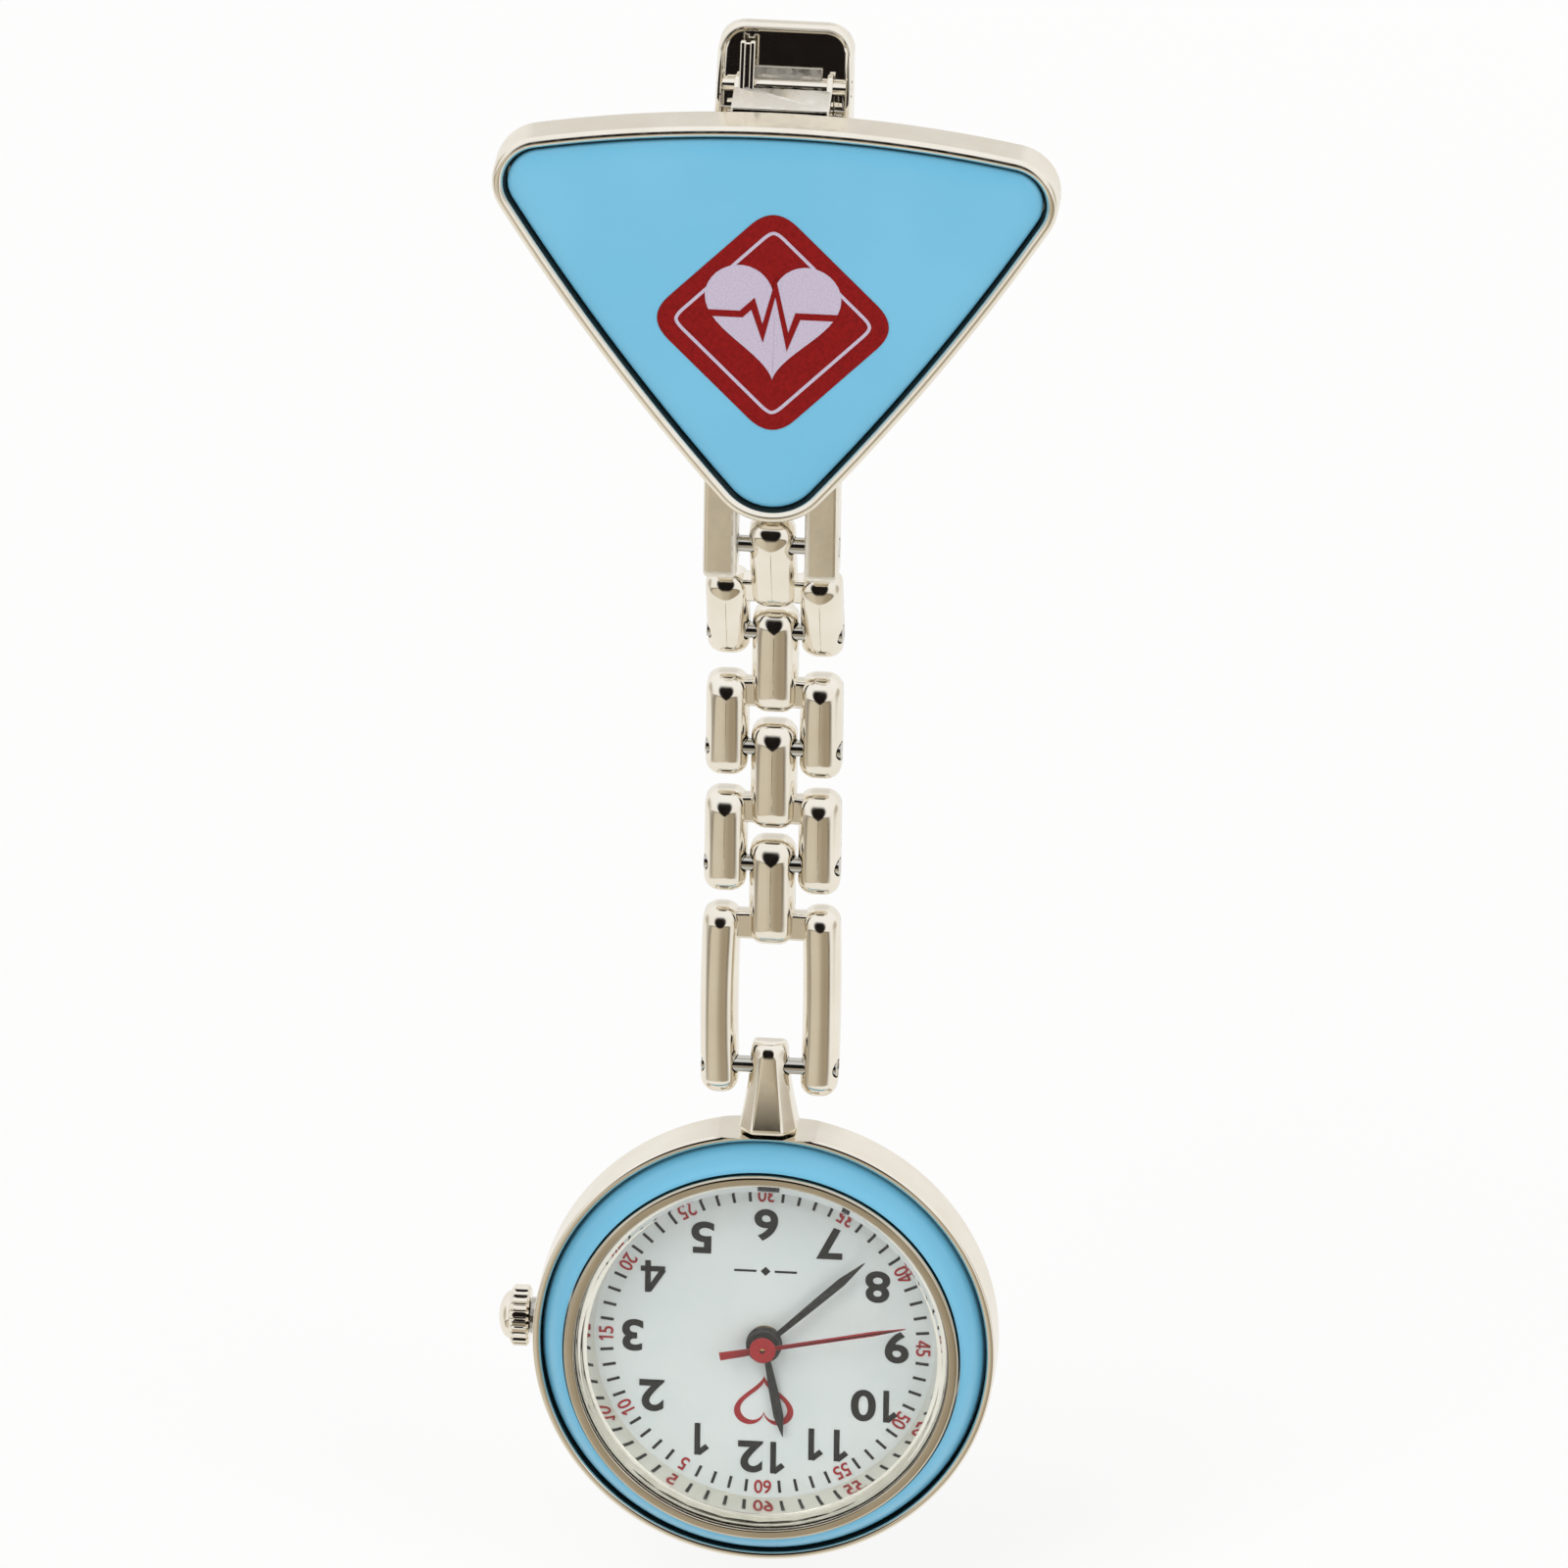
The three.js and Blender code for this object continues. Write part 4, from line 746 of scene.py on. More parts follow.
def make_lever():
    """The clip's lever: a pressed tray above, an arm and a toothed jaw below."""
    half = (lever_high.x - lever_low.x) / 2
    top = lever_high.z
    back = lever_high.y
    front = back - sheet
    foot = hinge.z - tray["foot"]
    corner = tray["corner"]
    outline = [(-half, foot), (half, foot)]
    outline += arc((half - corner, top - corner), corner, 0, math.pi / 2, 12)
    outline += arc((corner - half, top - corner), corner, math.pi / 2, math.pi, 12)
    rim = tray["rim_top"]
    wall = tray["wall"]
    profile = [(wall + 1, front), (wall + 0.3, front), (wall + 0.12, front - 0.03)]
    profile += [(wall + 0.02, front - 0.1), (wall, back - rim + 0.1), (wall - 0.08, back - rim)]
    profile += [(0.1, back - rim), (0.03, back - rim + 0.03), (0, back - rim + 0.1)]
    profile += [(0, back - 0.15), (0.05, back - 0.04), (0.15, back)]
    points, faces = solid(outline, profile)
    leaned = []
    for x, y, z in points:
        drop = min(top - z, tray["depth"])
        if y < back - rim + 0.12:
            y -= tray["rim_slope"] * drop
        elif y < front + 0.01:
            y -= tray["lean"] * drop
        leaned.append((x, y, z))
    cup = (leaned, faces)
    flanges = []
    flange_end = tray["jaw"] * 3
    for x in (-half, half - sheet):
        rim_front = back - rim - tray["rim_slope"] * tray["depth"]
        side = [(rim_front, foot + 0.05), (rim_front + 0.6, hinge.z - 3.6), (front - 0.1, flange_end)]
        side += [(back - 0.1, flange_end), (back - 0.1, foot + 0.2)]
        flanges.append(plate(rounded(side, 0.25, 3), x + 0.01, x + sheet - 0.01, "X", 0.06))
    jaw_y = lever_low.y
    jaw_top = tray["jaw"] / 2
    jaw_back = jaw_y + tray["tooth"] + sheet
    bend = jaw_top + front - jaw_y
    wide = half - 0.02
    upright = block((-wide, wide), (front, back), (bend - sheet / 2, foot + 0.3), 0.1, 0.1)
    slant = [(front, bend + 0.1), (jaw_y + sheet, jaw_top + 0.1), (jaw_back, jaw_top - sheet)]
    slant += [(back, bend - sheet - 0.1), (back, bend + 0.1)]
    wide -= 0.03
    ramp = plate(rounded(slant, 0.1, 3), -wide, wide, "X", 0.1)
    wide -= 0.03
    teeth = [(jaw_back, -jaw_top), (jaw_back, jaw_top), (jaw_y + sheet, jaw_top + 0.15)]
    pitch = tray["jaw"] / 3
    for tooth in range(3):
        tip = jaw_top - tooth * pitch
        teeth += [(jaw_y, tip - pitch / 4), (jaw_y, tip - pitch * 0.6)]
        teeth += [(jaw_y + tray["tooth"], tip - pitch)]
    jaw = plate(teeth, -wide, wide, "X", 0.05)
    shape = carved(merged(cup, upright, ramp, jaw, *flanges), bore(hinge_radius + hinge_play, hinge))
    piece("clip_lever_sheet", shape, "clip_lever", "nickel", "clip_lever")
    return front


def make_clip_hardware():
    low, high = span("clip_pin")
    pin = rod(hinge_radius, low.x, high.x, hinge)
    piece("clip_hinge_pin", pin, "badge", "nickel", "clip_pin")
    for name in RIVETS:
        low, high = span(name)
        head = (high.x - low.x) / 2 + 0.02
        back = badge_back + sheet
        profile = [(0.5, low.y), (0.5, back), (head - 0.02, back + 0.02)]
        profile += quarter(head, back, 0.02 - head, 0.33)[1:]
        shape = turned(profile, middle(name), "Y", 40)
        piece(name + "_dome", shape, "badge", "steel_bright", name)


def make_spring(wall):
    """A leaf that runs under the shelf, round behind the pin and up to the lever."""
    low, high = span("clip_spring")
    thick = 0.25
    foot_z = badge_high.z + 0.1 - sheet - thick / 2 - 0.1
    fold = hinge_radius + 0.08 + thick / 2
    line = [(hinge.y - 1.9, foot_z), (hinge.y - 0.9, foot_z)]
    line += arc((hinge.y, hinge.z), fold, -math.pi / 2, 0, 12)
    line += [(hinge.y + fold, hinge.z + 0.3), (wall - 0.95, hinge.z + 0.95)]
    leaf = plate(stroke(line, thick), low.x, high.x, "X", 0.05)
    made = piece("clip_leaf_spring", leaf, None, "steel_satin", "clip_spring")
    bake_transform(made)


# --- chain


def bar_ring(half_width, half_length, corner, along, centre, bow, camber):
    """One ring of a domed bar: a rounded rectangle in (x, z) at a depth."""
    centre_x, centre_z, reach = centre
    half_length = max(half_length, 0.02)
    corner = min(corner, half_width * 0.999, half_length * 0.999)
    points = []
    for quadrant, signs in enumerate(((1, 1), (-1, 1), (-1, -1), (1, -1))):
        middle_x = signs[0] * (half_width - corner)
        middle_z = signs[1] * (half_length - corner)
        start = math.pi / 2 * quadrant
        points += arc((middle_x, middle_z), corner, start, start + math.pi / 2, ARC)
    spread = []
    for (u, v), after in zip(points, points[1:] + points[:1]):
        pieces = link["steps"] if abs(after[1] - v) > half_length * 0.5 else 1
        for step in range(pieces):
            share = step / pieces
            spread.append((u + (after[0] - u) * share, v + (after[1] - v) * share))
    made = []
    for u, v in spread:
        share = max(-1.0, min(1.0, v / reach))
        crown = 1 - share * share
        made.append((centre_x + u + bow * crown, along - camber * crown, centre_z + v))
    return made


def domed_bar(x0, x1, z0, z1, bow=0.0):
    """A cast bar: flat behind, straight walls, and a domed polished front."""
    half_width = (x1 - x0) / 2
    half_length = (z1 - z0) / 2
    centre = ((x0 + x1) / 2, (z0 + z1) / 2, half_length)
    back = link["thick"] / 2
    front = link["dome"] - back + link["camber"]
    levels = [(inward, inward, along, 0) for inward, along in quarter(0, back - 0.2, 0.2, 0.2, 3)[::-1]]
    for step in range(link["steps"] + 1):
        turn = math.pi / 2 * step / link["steps"]
        inward = half_width * 0.985 * (1 - math.cos(turn))
        rise = math.sin(turn)
        levels.append((inward, inward * 1.1, front - link["dome"] * 0.97 * rise, link["camber"] * rise))
    rings = []
    for inward, end_inward, along, camber in levels:
        size = half_width - inward
        corner = link["corner"] * size / half_width
        rings.append(bar_ring(size, half_length - end_inward, corner, along, centre, bow, camber))
    return loft(rings)


def make_link(name, node, body, top, bottom, side_width, bow):
    """A fork link: a centre bar above, two side bars below and a web between them."""
    pitch = (bottom - top).length
    web_top = link["tail"] + link["bar_gap"]
    web_bottom = link["pitch"] - link["rise"] - link["gap"]
    half = link["width"] / 2
    tongue = domed_bar(-link["tongue"] / 2, link["tongue"] / 2, -web_bottom, link["rise"])
    low = -pitch - link["tail"]
    left = domed_bar(-half, side_width - half, low, -web_top, -bow)
    right = domed_bar(half - side_width, half, low, -web_top, bow)
    back = link["thick"] / 2
    web_x = (web["inset"] - half, half - web["inset"])
    web_z = (web["lower_overlap"] - web_bottom, -web_top - web["overlap"])
    web_block = block(web_x, (back - web["front"], back - web["back"]), web_z, 0.3, 0.22)
    bores = [bore(pin_radius + pin_play, Vector((0, 0, z))) for z in (0, -pitch)]
    shape = carved(merged(tongue, left, right, web_block), *bores)
    lean = math.atan2(bottom.y - top.y, top.z - bottom.z)
    matrix = Matrix.Translation((0, top.y, top.z)) @ Matrix.Rotation(lean, 4, "X")
    piece(name, moved(shape, matrix), body, "nickel_cast", node)


def make_chain():
    for number in range(1, 4):
        node = f"chain_link_{number}"
        make_link(f"{node}_cast", node, f"link_{number}", pins[number - 1], pins[number], link["side"], 0.0)
    make_link("long_link_cast", "long_link", "link_4", pins[3], pins[4], link["long_side"], 0.12)
    for number in range(1, 6):
        node = f"chain_pin_{number}"
        low, high = span(node)
        body = "badge" if number == 1 else f"link_{number - 1}"
        shape = rod(pin_radius, low.x, high.x, pins[number - 1])
        piece(node + "_rod", shape, body, "steel_bright", node)


def bail_ring(half_width, depth, facet, z):
    """One level of the faceted bail, as a ring of points."""
    back = depth / 2
    outline = [(-half_width, back), (-half_width, -depth * 0.18), (-facet, -back)]
    outline += [(facet, -back), (half_width, -depth * 0.18), (half_width, back)]
    outline = rounded(counterclockwise(outline), 0.16, 3)
    return [(u, axis_y + v, z) for u, v in outline]


def make_bail():
    low, high = span("bail")
    seat, top = low.z, high.z
    half, deep, facet, dome = (bail[key] for key in ("half", "deep", "facet", "dome"))
    shoulder = top - dome
    rings = []
    for step in range(7):
        turn = math.pi / 2 * (1 - step / 6)
        size = 0.35 + 0.65 * math.cos(turn)
        width = half * (0.72 + 0.28 * math.cos(turn))
        rings.append(bail_ring(width, deep * size, facet * size, shoulder + dome * math.sin(turn)))
    for step in range(1, 9):
        share = step / 8
        z = shoulder + (seat + bail["skirt"] - shoulder) * share
        flare = share**1.5
        rings.append(bail_ring(half + 0.6 * flare, deep + 0.8 * flare, facet + 0.5 * share, z))
    for width, depth, flat, rise in ((1.76, 2.74, 0.95, 0.22), (1.7, 2.66, 0.9, 0.1), (1.66, 2.6, 0.9, 0)):
        rings.append(bail_ring(width, depth, flat, seat + rise))
    shape = carved(loft(rings), bore(pin_radius + pin_play, pins[4]))
    piece("bail_cast", shape, "watch", "nickel_cast", "bail")


# --- watch case


def from_axis(points):
    """Profile points whose second number is measured from the chain's plane."""
    return [(radius, axis_y + along) for radius, along in points]


def lathe(points, edge, wrap=True, segments=TURN, steps=4):
    """A piece turned round the watch's axis, its profile's corners rounded."""
    profile = rounded(points, edge, steps, wrap)
    return turned(from_axis(profile), axis, "Y", segments, wrap)


def make_case():
    outer, lip = case_radius, 0.5
    points = [(outer, -1.6), (outer, 1.7), (outer - 1.05, 2.6), (11.65, 2.6), (11.65, -0.25)]
    points += [(10.95, -0.25), (10.95, -0.75), (outer - lip, -0.75), (outer - lip, -1.6)]
    shape = lathe(points, 0.22)
    flat_z = axis.z + math.sqrt(outer**2 - 9)
    room = block((-3, 3), (axis_y - 4, axis_y + 4), (flat_z, flat_z + 2), 0.05, 0.05)
    tube = middle("crown_tube")
    hole = bore(1.15, tube, -16, -10.8, "X", 40)
    shape = carved(shape, room, hole)
    made = piece("case_body_polished", shape, "watch", "nickel", "case_body")

    # Painted shade: the faces inside the lip's groove round the blue ring get the near-black colour, for
    # their shadow and dark reflection.
    def in_groove(place, _):
        radius = math.hypot(place.x - axis.x, place.z - axis.z)
        return 13.3 < radius < 13.56 and axis_y - 1.45 < place.y < axis_y - 0.6

    paint(made, "painted_groove_shade", in_groove)


def make_blue_ring():
    outer, inner = ring["outer"], ring["inner"]
    points = [(outer, axis_y - 0.73)]
    slope = (ring["inner_y"] - ring["outer_y"]) / (inner - outer)
    for step in range(15):
        share = step / 14
        radius = outer + (inner - outer) * share
        rise = ring["crown"] * 4 * share * (1 - share)
        along = ring["outer_y"] + slope * (radius - outer) - rise + 0.3 * (1 - share) ** 6
        points.append((radius, axis_y + along))
    points.append((inner, axis_y - 0.73))
    shape = turned(points, axis, wrap=True)
    piece("blue_ring_enamel", shape, "watch", "blue_enamel", "blue_ring", 40)


def make_bezel():
    points = [(bezel["inner"], -0.75), (bezel["radius"], -0.75), (bezel["radius"], bezel["front"])]
    points += [(bezel["glass"] + 0.06, bezel["front"]), (bezel["glass"], -3.1)]
    points += [(bezel["glass"], bezel["ledge"]), (bezel["inner"], bezel["ledge"])]
    shape = lathe(points, 0.22, steps=5)
    piece("bezel_polished", shape, "watch", "bezel_steel", "bezel")


def make_crystal():
    radius, front, back = glass["radius"], glass["front"], glass["back"]
    points = [(0.4, front), (radius - glass["edge"], front)]
    points += [(radius, front + glass["edge"]), (radius, back), (0.4, back)]
    profile = rounded(points, 0.06, 3, False)
    profile.insert(1, (radius - glass["edge"] - 0.3, front))
    profile.insert(len(profile) - 1, (radius - 0.3, back))
    shape = turned(from_axis(profile), axis)
    piece("crystal_pane", shape, "watch", "glass", "crystal")


def make_flange():
    points = [(flange["foot"], -0.25), (flange["outer"], -0.25)]
    points += [(flange["outer"], flange["top_y"]), (flange["top"], flange["top_y"])]
    shape = lathe(points, 0.04)
    piece("dial_flange_polished", shape, "watch", "nickel", "dial_flange")


def make_case_back():
    points = [(0.4, 4.2), (8.2, 4.2), (8.35, 4.12), (8.6, 4.12), (8.75, 4.2), (10.9, 4.2)]
    points += [(12.9, 3.3), (12.9, 2.8), (11.5, 2.8), (11.5, 2.35), (11.05, 2.35)]
    points += [(11.05, 3.5), (0.4, 3.5)]
    shape = lathe(points, 0.12, wrap=False, segments=160)
    notch_z = axis.z - 13.1
    notch = block((-1.4, 1.4), (axis_y + 2.9, axis_y + 3.6), (notch_z - 0.5, notch_z + 0.75), 0.3, 0.1)
    shape = carved(shape, notch)
    piece("case_back_cover", shape, "watch", "steel", "case_back")


def make_crown():
    low, high = span("crown")
    place = middle("crown")
    radius = radius_of("crown")
    inner = high.x
    dome = 0.8
    edge = low.x + dome
    ridges = 24
    profile = [(0.86, inner), (radius - 0.2, inner), (radius, inner - 0.14), (radius, inner - 0.35)]
    profile += [(radius, edge + 0.3), (radius, edge + 0.14), (radius - 0.16, edge)]
    for reach, along in quarter(radius - 0.36, edge, 0.36 - radius, -dome, 12)[1:]:
        profile.append((max(reach, 0.03), along))

    def knurl(share, along):
        if not edge + 0.1 < along < inner - 0.1:
            return 0.0
        return 0.16 * max(0.0, math.cos(2 * math.pi * share * ridges)) ** 0.8

    shape = turned(profile, place, "X", ridges * 10, False, knurl)
    shape = carved(shape, bore(0.85, place, inner - 0.9, inner + 1, "X", 40))
    piece("crown_knurled", shape, "crown", "nickel", "crown")


# --- dial


def on_dial(u, v):
    """A dial point, its 12 at the bottom, as (x, z)."""
    return axis.x - u, axis.z - v


def spun(u, v, turn):
    """A dial point turned clockwise round the centre."""
    return u * math.cos(turn) + v * math.sin(turn), v * math.cos(turn) - u * math.sin(turn)


def ink(outline):
    """A thin printed layer on the dial's face."""
    return plate(outline, dial_face - ink_rise, dial_face + 0.01, "Y", 0.01)


def text_shape(words, bold, rise):
    """A printed figure's points, centred, its faces and its height. It is about 1 tall and faces +Z."""
    curve = bpy.data.curves.new("figure", "FONT")
    curve.body = words
    curve.size = 1.0
    curve.offset = bold
    curve.extrude = rise / 2
    curve.resolution_u = 6
    holder = bpy.data.objects.new("figure", curve)
    bpy.context.scene.collection.objects.link(holder)
    graph = bpy.context.evaluated_depsgraph_get()
    mesh = bpy.data.meshes.new_from_object(holder.evaluated_get(graph))
    points = [vertex.co.copy() for vertex in mesh.vertices]
    low = [min(point[k] for point in points) for k in (0, 1)]
    high = [max(point[k] for point in points) for k in (0, 1)]
    shift = Vector(((low[0] + high[0]) / 2, (low[1] + high[1]) / 2, 0))
    faces = [tuple(polygon.vertices) for polygon in mesh.polygons]
    bpy.data.objects.remove(holder)
    return [point - shift for point in points], faces, high[1] - low[1]


def drawn_strokes(digit):
    """The 1 and the 4, drawn as lines in a figure one unit tall."""
    if digit == "1":
        return [[(0.08, -0.5), (0.08, 0.5)], [(-0.22, 0.22), (0.06, 0.46)]]
    stem = [(0.16, -0.5), (0.16, 0.5)]
    bar = [(-0.36, -0.24), (0.38, -0.24)]
    slope = [(-0.31, -0.22), (0.13, 0.45)]
    return [stem, bar, slope]


def digit_shape(digit, height, bold, wide):
    """One figure's points and faces, centred, with its face towards +Z."""
    if digit in "14":
        parts = []
        for line in drawn_strokes(digit):
            scaled = [(x * height * wide * 0.86, y * height) for x, y in line]
            points, faces = plate(stroke(scaled, height * (0.115 + 2 * bold)), -0.02, 0.02, "Z", 0.004)
            parts.append(([Vector(point) for point in points], faces))
        return merged(*parts)
    points, faces, tall = text_shape(digit, bold, 0.04)
    scale = height / tall
    return [Vector((point.x * scale * wide, point.y * scale, point.z)) for point in points], faces


def figure(words, height, place, turn, bold, wide):
    """A number placed on the dial, turned clockwise by an angle."""
    made = []
    pitch = height * 0.66 * wide
    for index, digit in enumerate(words):
        points, faces = digit_shape(digit, height, bold, wide)
        start = pitch * (index - (len(words) - 1) / 2)
        placed = []
        for point in points:
            across, up = spun(point.x + start, point.y, turn)
            x, z = on_dial(place[0] + across, place[1] + up)
            placed.append((x, dial_face - 0.02 - point.z, z))
        made.append((placed, faces))
    return merged(*made)


def make_dial():
    points = [(1.0, dial_face), (11.5, dial_face), (11.5, dial_high.y), (1.0, dial_high.y)]
    shape = turned(rounded(points, 0.05, 3), axis, wrap=True)
    piece("dial_plate", shape, "watch", "dial_white", "dial")
    hours, minutes, ticks = [], [], []
    for hour in range(1, 13):
        turn = math.pi / 6 * hour
        place = spun(0, figures["hour_reach"] + 0.35 * math.sin(turn) ** 4, turn)
        hours.append(figure(str(hour), figures["hour"], place, 0, 0.026, 1.12))
        facing = turn + math.pi if 3 < hour < 9 else turn
        place = spun(0, figures["minute_reach"], turn)
        minutes.append(figure(str(hour * 5), figures["minute"], place, facing, 0.012, 0.92))
    for minute in range(60):
        if minute % 5:
            turn = math.pi / 30 * minute
            tick = rectangle(-0.09, 0.09, 9.2, 10.0)
            ticks.append(ink([on_dial(*spun(across, up, turn)) for across, up in tick]))
    piece("dial_hour_figures", merged(*hours), "watch", "black")
    piece("dial_minute_figures", merged(*minutes), "watch", "red")
    piece("dial_minute_ticks", merged(*ticks), "watch", "black")


def make_dial_ornaments():
    """A small red heart near 12, and a plain line with a lozenge near 6."""
    x, z = on_dial(0, 3.9)
    outer = [(x - u, z - v) for u, v in heart_outline(3.6, 64)]
    inner = [(x - u, z - v - 0.05) for u, v in heart_outline(2.85, 64)]
    heart = band(outer, inner, dial_face - ink_rise, dial_face + 0.01)
    piece("dial_heart_print", heart, "watch", "red")
    x, z = on_dial(0, -4.6)
    parts = []
    for start in (x - 1.9, x + 0.55):
        parts.append(ink(rectangle(start, start + 1.35, z - 0.07, z + 0.07)))
    parts.append(ink([(x, z - 0.3), (x + 0.3, z), (x, z + 0.3), (x - 0.3, z)]))
    piece("dial_lozenge_print", merged(*parts), "watch", "black")


def hand_outline(length, root, belly, hub, tail=0, tail_width=0):
    """A hand that points along +v, with a round hub and perhaps a short tail."""
    right = [(root, hub * 0.8), (belly * 0.92, length * 0.5), (belly, length * 0.78), (0.02, length)]
    outline = right + [(-u, v) for u, v in right[::-1]]
    if tail:
        outline += [(-tail_width * 0.42, -hub * 0.6), (-tail_width / 2, -tail)]
        outline += [(tail_width / 2, -tail), (tail_width * 0.42, -hub * 0.6)]
    return outline


def make_hand(name, body, turns, look, slot, hub_rise, **sizes):
    low, high = span(name)
    turn = 2 * math.pi * turns
    placed = [on_dial(*spun(u, v, turn)) for u, v in hand_outline(**sizes)]
    blade = plate(placed, low.y, high.y, "Y", 0.03)
    hub = sizes["hub"]
    top = low.y - hub_rise
    profile = [(0.16, high.y), (hub - 0.05, high.y), (hub, high.y - 0.05)]
    profile += [(hub, top + 0.06), (hub - 0.08, top), (0.16, top)]
    disc = turned(profile, axis, "Y", 64, True)
    arbor_hole = rod(0.17, low.y - 1, high.y + 1, axis, "Y", 0.01, 24)
    piece(name + "_blade", carved(merged(blade, disc), arbor_hole), body, look, name)


def make_hands():
    second = time_shown["second"] / 60
    minute = (time_shown["minute"] + second) / 60
    hour = (time_shown["hour"] + minute) / 12
    black = ("hand_black", "black")
    make_hand("hour_hand", "hours", hour, *black, 0.05, length=6.2, root=0.17, belly=0.3, hub=1.1)
    make_hand("minute_hand", "minutes", minute, *black, 0.1, length=8.35, root=0.16, belly=0.26, hub=1.05)
    tail = {"tail": 2.65, "tail_width": 0.5}
    make_hand("seconds_hand", "seconds", second, "red", "red", 0.12, length=8.8, root=0.13, belly=0.14,
              hub=0.8, **tail)


# --- carried-over pieces


INNER = {
    "plastic": ["crystal_gasket", "movement_ring", "intermediate_wheel"],
    "rubber": ["back_gasket", "timer_chip", "crown_gasket"],
    "brass": ["main_plate", "seconds_wheel", "centre_wheel", "hour_wheel", "minute_wheel", "third_wheel"],
    "steel": ["train_bridge", "coil_core", "stator", "battery_strap", "setting_lever", "crown_tube", "rotor"],
    "steel_bright": ["quartz_can", "battery", "crown_stem", "clutch_wheel"],
    "board": ["circuit_board"],
    "copper": ["motor_coil"],
}


def finish_inner_pieces():
    """CAD pieces that stay: clean flat faces, small rounded edges and a real finish."""
    pairs = [(name, look) for look, names in INNER.items() for name in names]
    for name, look in pairs:
        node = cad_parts[name]
        node.data.materials.clear()
        node.data.materials.append(looks[look])
        weld = node.modifiers.new("weld", "WELD")
        weld.merge_threshold = 0.000001
        flat = node.modifiers.new("flat", "DECIMATE")
        flat.decimate_type = "DISSOLVE"
        flat.angle_limit = math.radians(1)
        edge = node.modifiers.new("edge", "BEVEL")
        edge.width = 0.02 * MM
        edge.segments = 2
        edge.limit_method = "ANGLE"
        edge.angle_limit = math.radians(40)


# --- room, light and camera


def oval(tree, across, z, place, high, wide):
    """The square of a direction's distance from an oval's centre. It is 1 on the oval's edge."""
    rise = tree("POWER", tree("DIVIDE", tree("SUBTRACT", z, place), high), 2.0)
    return tree("ADD", rise, tree("POWER", tree("DIVIDE", across, wide), 2.0))


def make_world():
    """A white room. Polished metal also meets a beige table, dull walls and a dark stand in front."""
    world = bpy.data.worlds.new("room")
    bpy.context.scene.world = world
    world.use_nodes = True
    world.node_tree.nodes.clear()
    tree = Tree(world.node_tree)
    direction = tree.add("TexCoord", "Generated", {})
    x, y, z = (tree.add("SeparateXYZ", name, {"Vector": direction}) for name in "XYZ")
    across = tree("ABSOLUTE", tree("ADD", x, 0.08))
    in_front = tree.fade(y, 0.1, -0.15)
    edge = oval(tree, across, z, place=-0.38, high=0.36, wide=0.84)
    table = tree("MULTIPLY", tree.fade(edge, 1.15, 0.85), in_front)
    rim = tree("MULTIPLY", tree.fade(tree("ABSOLUTE", tree("SUBTRACT", edge, 1.0)), 0.26, 0.05), in_front)
    rim = tree("MULTIPLY", tree("MULTIPLY", rim, tree.fade(z, -0.75, -0.3)), 0.7)
    stand = oval(tree, across, z, place=0.24, high=0.43, wide=0.46)
    stand = tree("MULTIPLY", tree.fade(stand, 1.35, 0.55), in_front)
    sides = tree.fade(tree("ABSOLUTE", x), 0.9, 1.0)
    behind = tree("MULTIPLY", tree.fade(y, 0.55, 0.85), tree.fade(z, 0.7, 0.45))
    far = tree("MULTIPLY", tree.fade(across, 0.3, 0.1), tree("MULTIPLY", behind, tree.fade(z, 0.1, 0.3)))
    left = tree.fade(x, 0.35, -0.45)
    table_top = tree.mix(left, linear(166, 154, 132), linear(214, 205, 187))
    colour = tree.mix(tree.fade(z, -1.0, 1.0), linear(246, 243, 236), WHITE)
    colour = tree.mix(tree("MULTIPLY", behind, 0.5), colour, linear(240, 238, 233))
    colour = tree.mix(tree("MULTIPLY", far, 0.4), colour, linear(196, 192, 184))
    colour = tree.mix(table, colour, table_top)
    colour = tree.mix(rim, colour, linear(104, 90, 72))
    colour = tree.mix(sides, colour, linear(196, 188, 174))
    colour = tree.mix(stand, colour, linear(26, 22, 20))
    colour = tree.mix(tree.ray("Glossy"), WHITE, colour)
    seen = tree.add("Background", "Background", {"Color": colour, "Strength": 1.0})
    lit = tree.add("Background", "Background", {"Color": (1.0, 0.99, 0.975, 1.0), "Strength": 0.62})
    output = tree.nodes.new("ShaderNodeOutputWorld")
    tree.surface(not_lighting(tree), lit, seen, output)


def not_lighting(tree):
    """1 for the rays that show a surface, 0 for those that light another one."""
    share = tree("MAXIMUM", tree.ray("Camera"), tree.ray("Glossy"))
    return tree("MAXIMUM", share, tree.ray("Transmission"))


def make_floor():
    """A plain pale floor below the watch. It keeps the shadow."""
    bottom = cad_box[0].z - 0.004
    bpy.ops.mesh.primitive_plane_add(size=1.6, location=(0, 0, bottom))
    floor = bpy.context.object
    floor.name = "floor"
    floor.visible_glossy = False
    finish = Finish("floor", (0.9, 0.9, 0.9, 1.0), 0.9)
    glow = finish.add("Emission", "Emission", {"Color": WHITE})
    share = finish("MULTIPLY", not_lighting(finish), 0.75)
    output = finish.nodes["Material Output"]
    finish.surface(share, finish.shader.outputs["BSDF"], glow, output)
    floor.data.materials.append(finish.material)


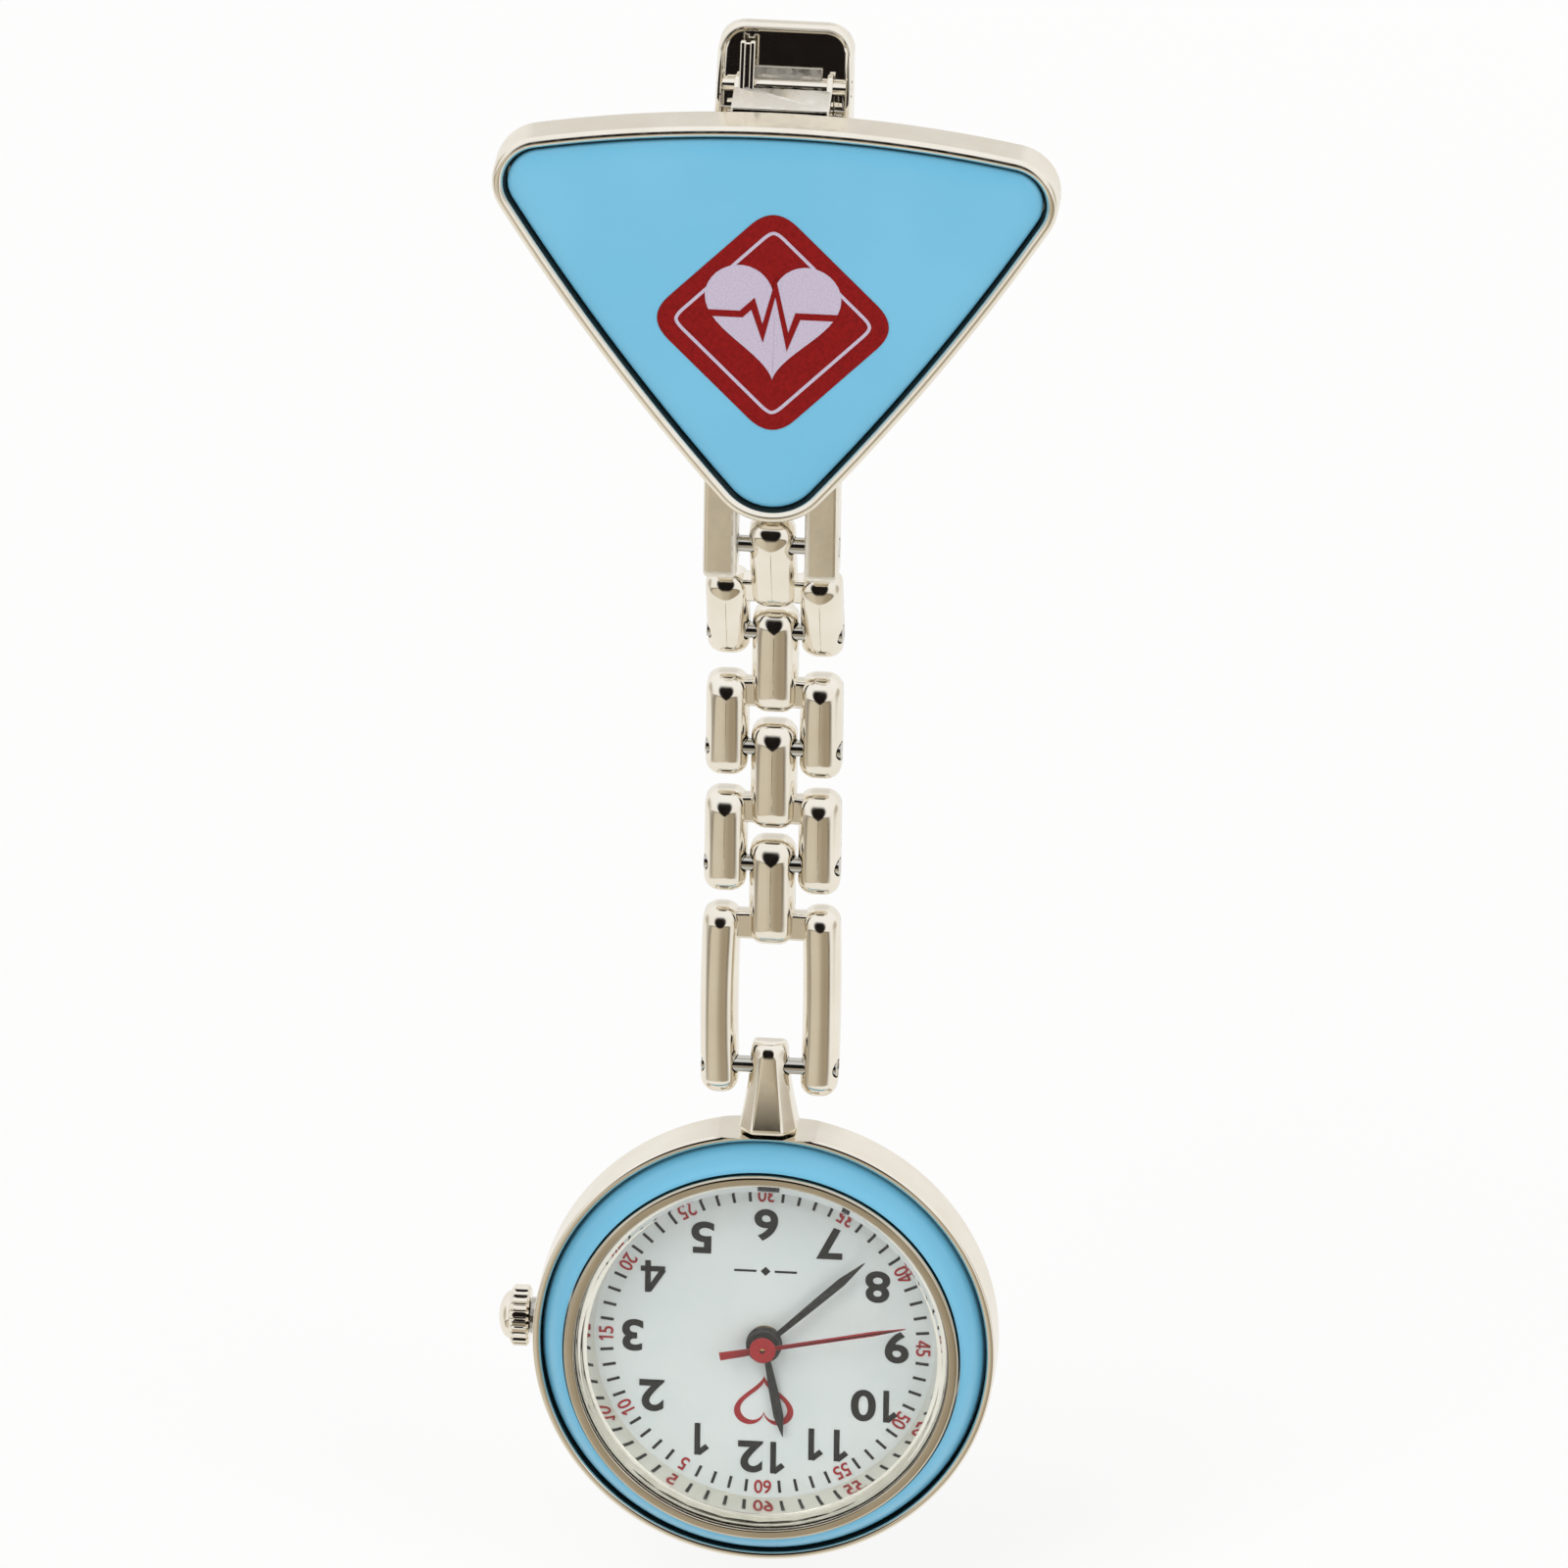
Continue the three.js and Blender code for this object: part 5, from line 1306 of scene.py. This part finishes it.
def make_lamp(name, place, size, power):
    data = bpy.data.lights.new(name, "AREA")
    data.shape = "RECTANGLE"
    data.size, data.size_y = size
    data.energy = power
    lamp = bpy.data.objects.new(name, data)
    bpy.context.scene.collection.objects.link(lamp)
    lamp.location = place
    aim = Vector((0, 0, -0.03)) - Vector(place)
    lamp.rotation_euler = aim.to_track_quat("-Z", "Y").to_euler()
    lamp.visible_glossy = False


def make_lights():
    make_lamp("key", (-0.35, -0.55, 0.55), (0.5, 0.5), 2.6)
    make_lamp("fill", (0.55, -0.5, 0.25), (0.5, 0.6), 1.5)
    make_lamp("back", (0.1, 0.6, 0.4), (0.6, 0.4), 1.6)


view = {"azimuth": 4.93, "elevation": 23.27, "roll": 0.787, "x": 0.752, "z": -30.92}
view.update({"focal": 1350, "distance": 3530.7})


def make_camera():
    azimuth, elevation, roll = (math.radians(view[key]) for key in ("azimuth", "elevation", "roll"))
    back = Vector((
        math.sin(azimuth) * math.cos(elevation),
        -math.cos(azimuth) * math.cos(elevation),
        math.sin(elevation),
    ))
    right = Vector((math.cos(azimuth), math.sin(azimuth), 0))
    up = back.cross(right)
    across = right * math.cos(roll) + up * math.sin(roll)
    upright = up * math.cos(roll) - right * math.sin(roll)
    data = bpy.data.cameras.new("camera")
    data.lens = view["focal"]
    data.sensor_width = 36
    data.clip_start = 0.1
    data.clip_end = 20
    camera = bpy.data.objects.new("camera", data)
    bpy.context.scene.collection.objects.link(camera)
    target = Vector((view["x"], 0, view["z"])) * MM
    turn = Matrix((across, upright, back)).transposed()
    camera.matrix_world = Matrix.Translation(target + back * view["distance"] * MM) @ turn.to_4x4()
    bpy.context.scene.camera = camera


# --- everything


make_camera()
make_world()
make_floor()
make_lights()
make_badge_frame()
make_badge_emblem(make_inlay())
make_bracket()
make_spring(make_lever())
make_clip_hardware()
make_chain()
make_bail()
make_case()
make_blue_ring()
make_bezel()
make_crystal()
make_flange()
make_case_back()
make_crown()
make_dial()
make_dial_ornaments()
make_hands()
finish_inner_pieces()
bpy.context.scene.view_settings.view_transform = "Standard"
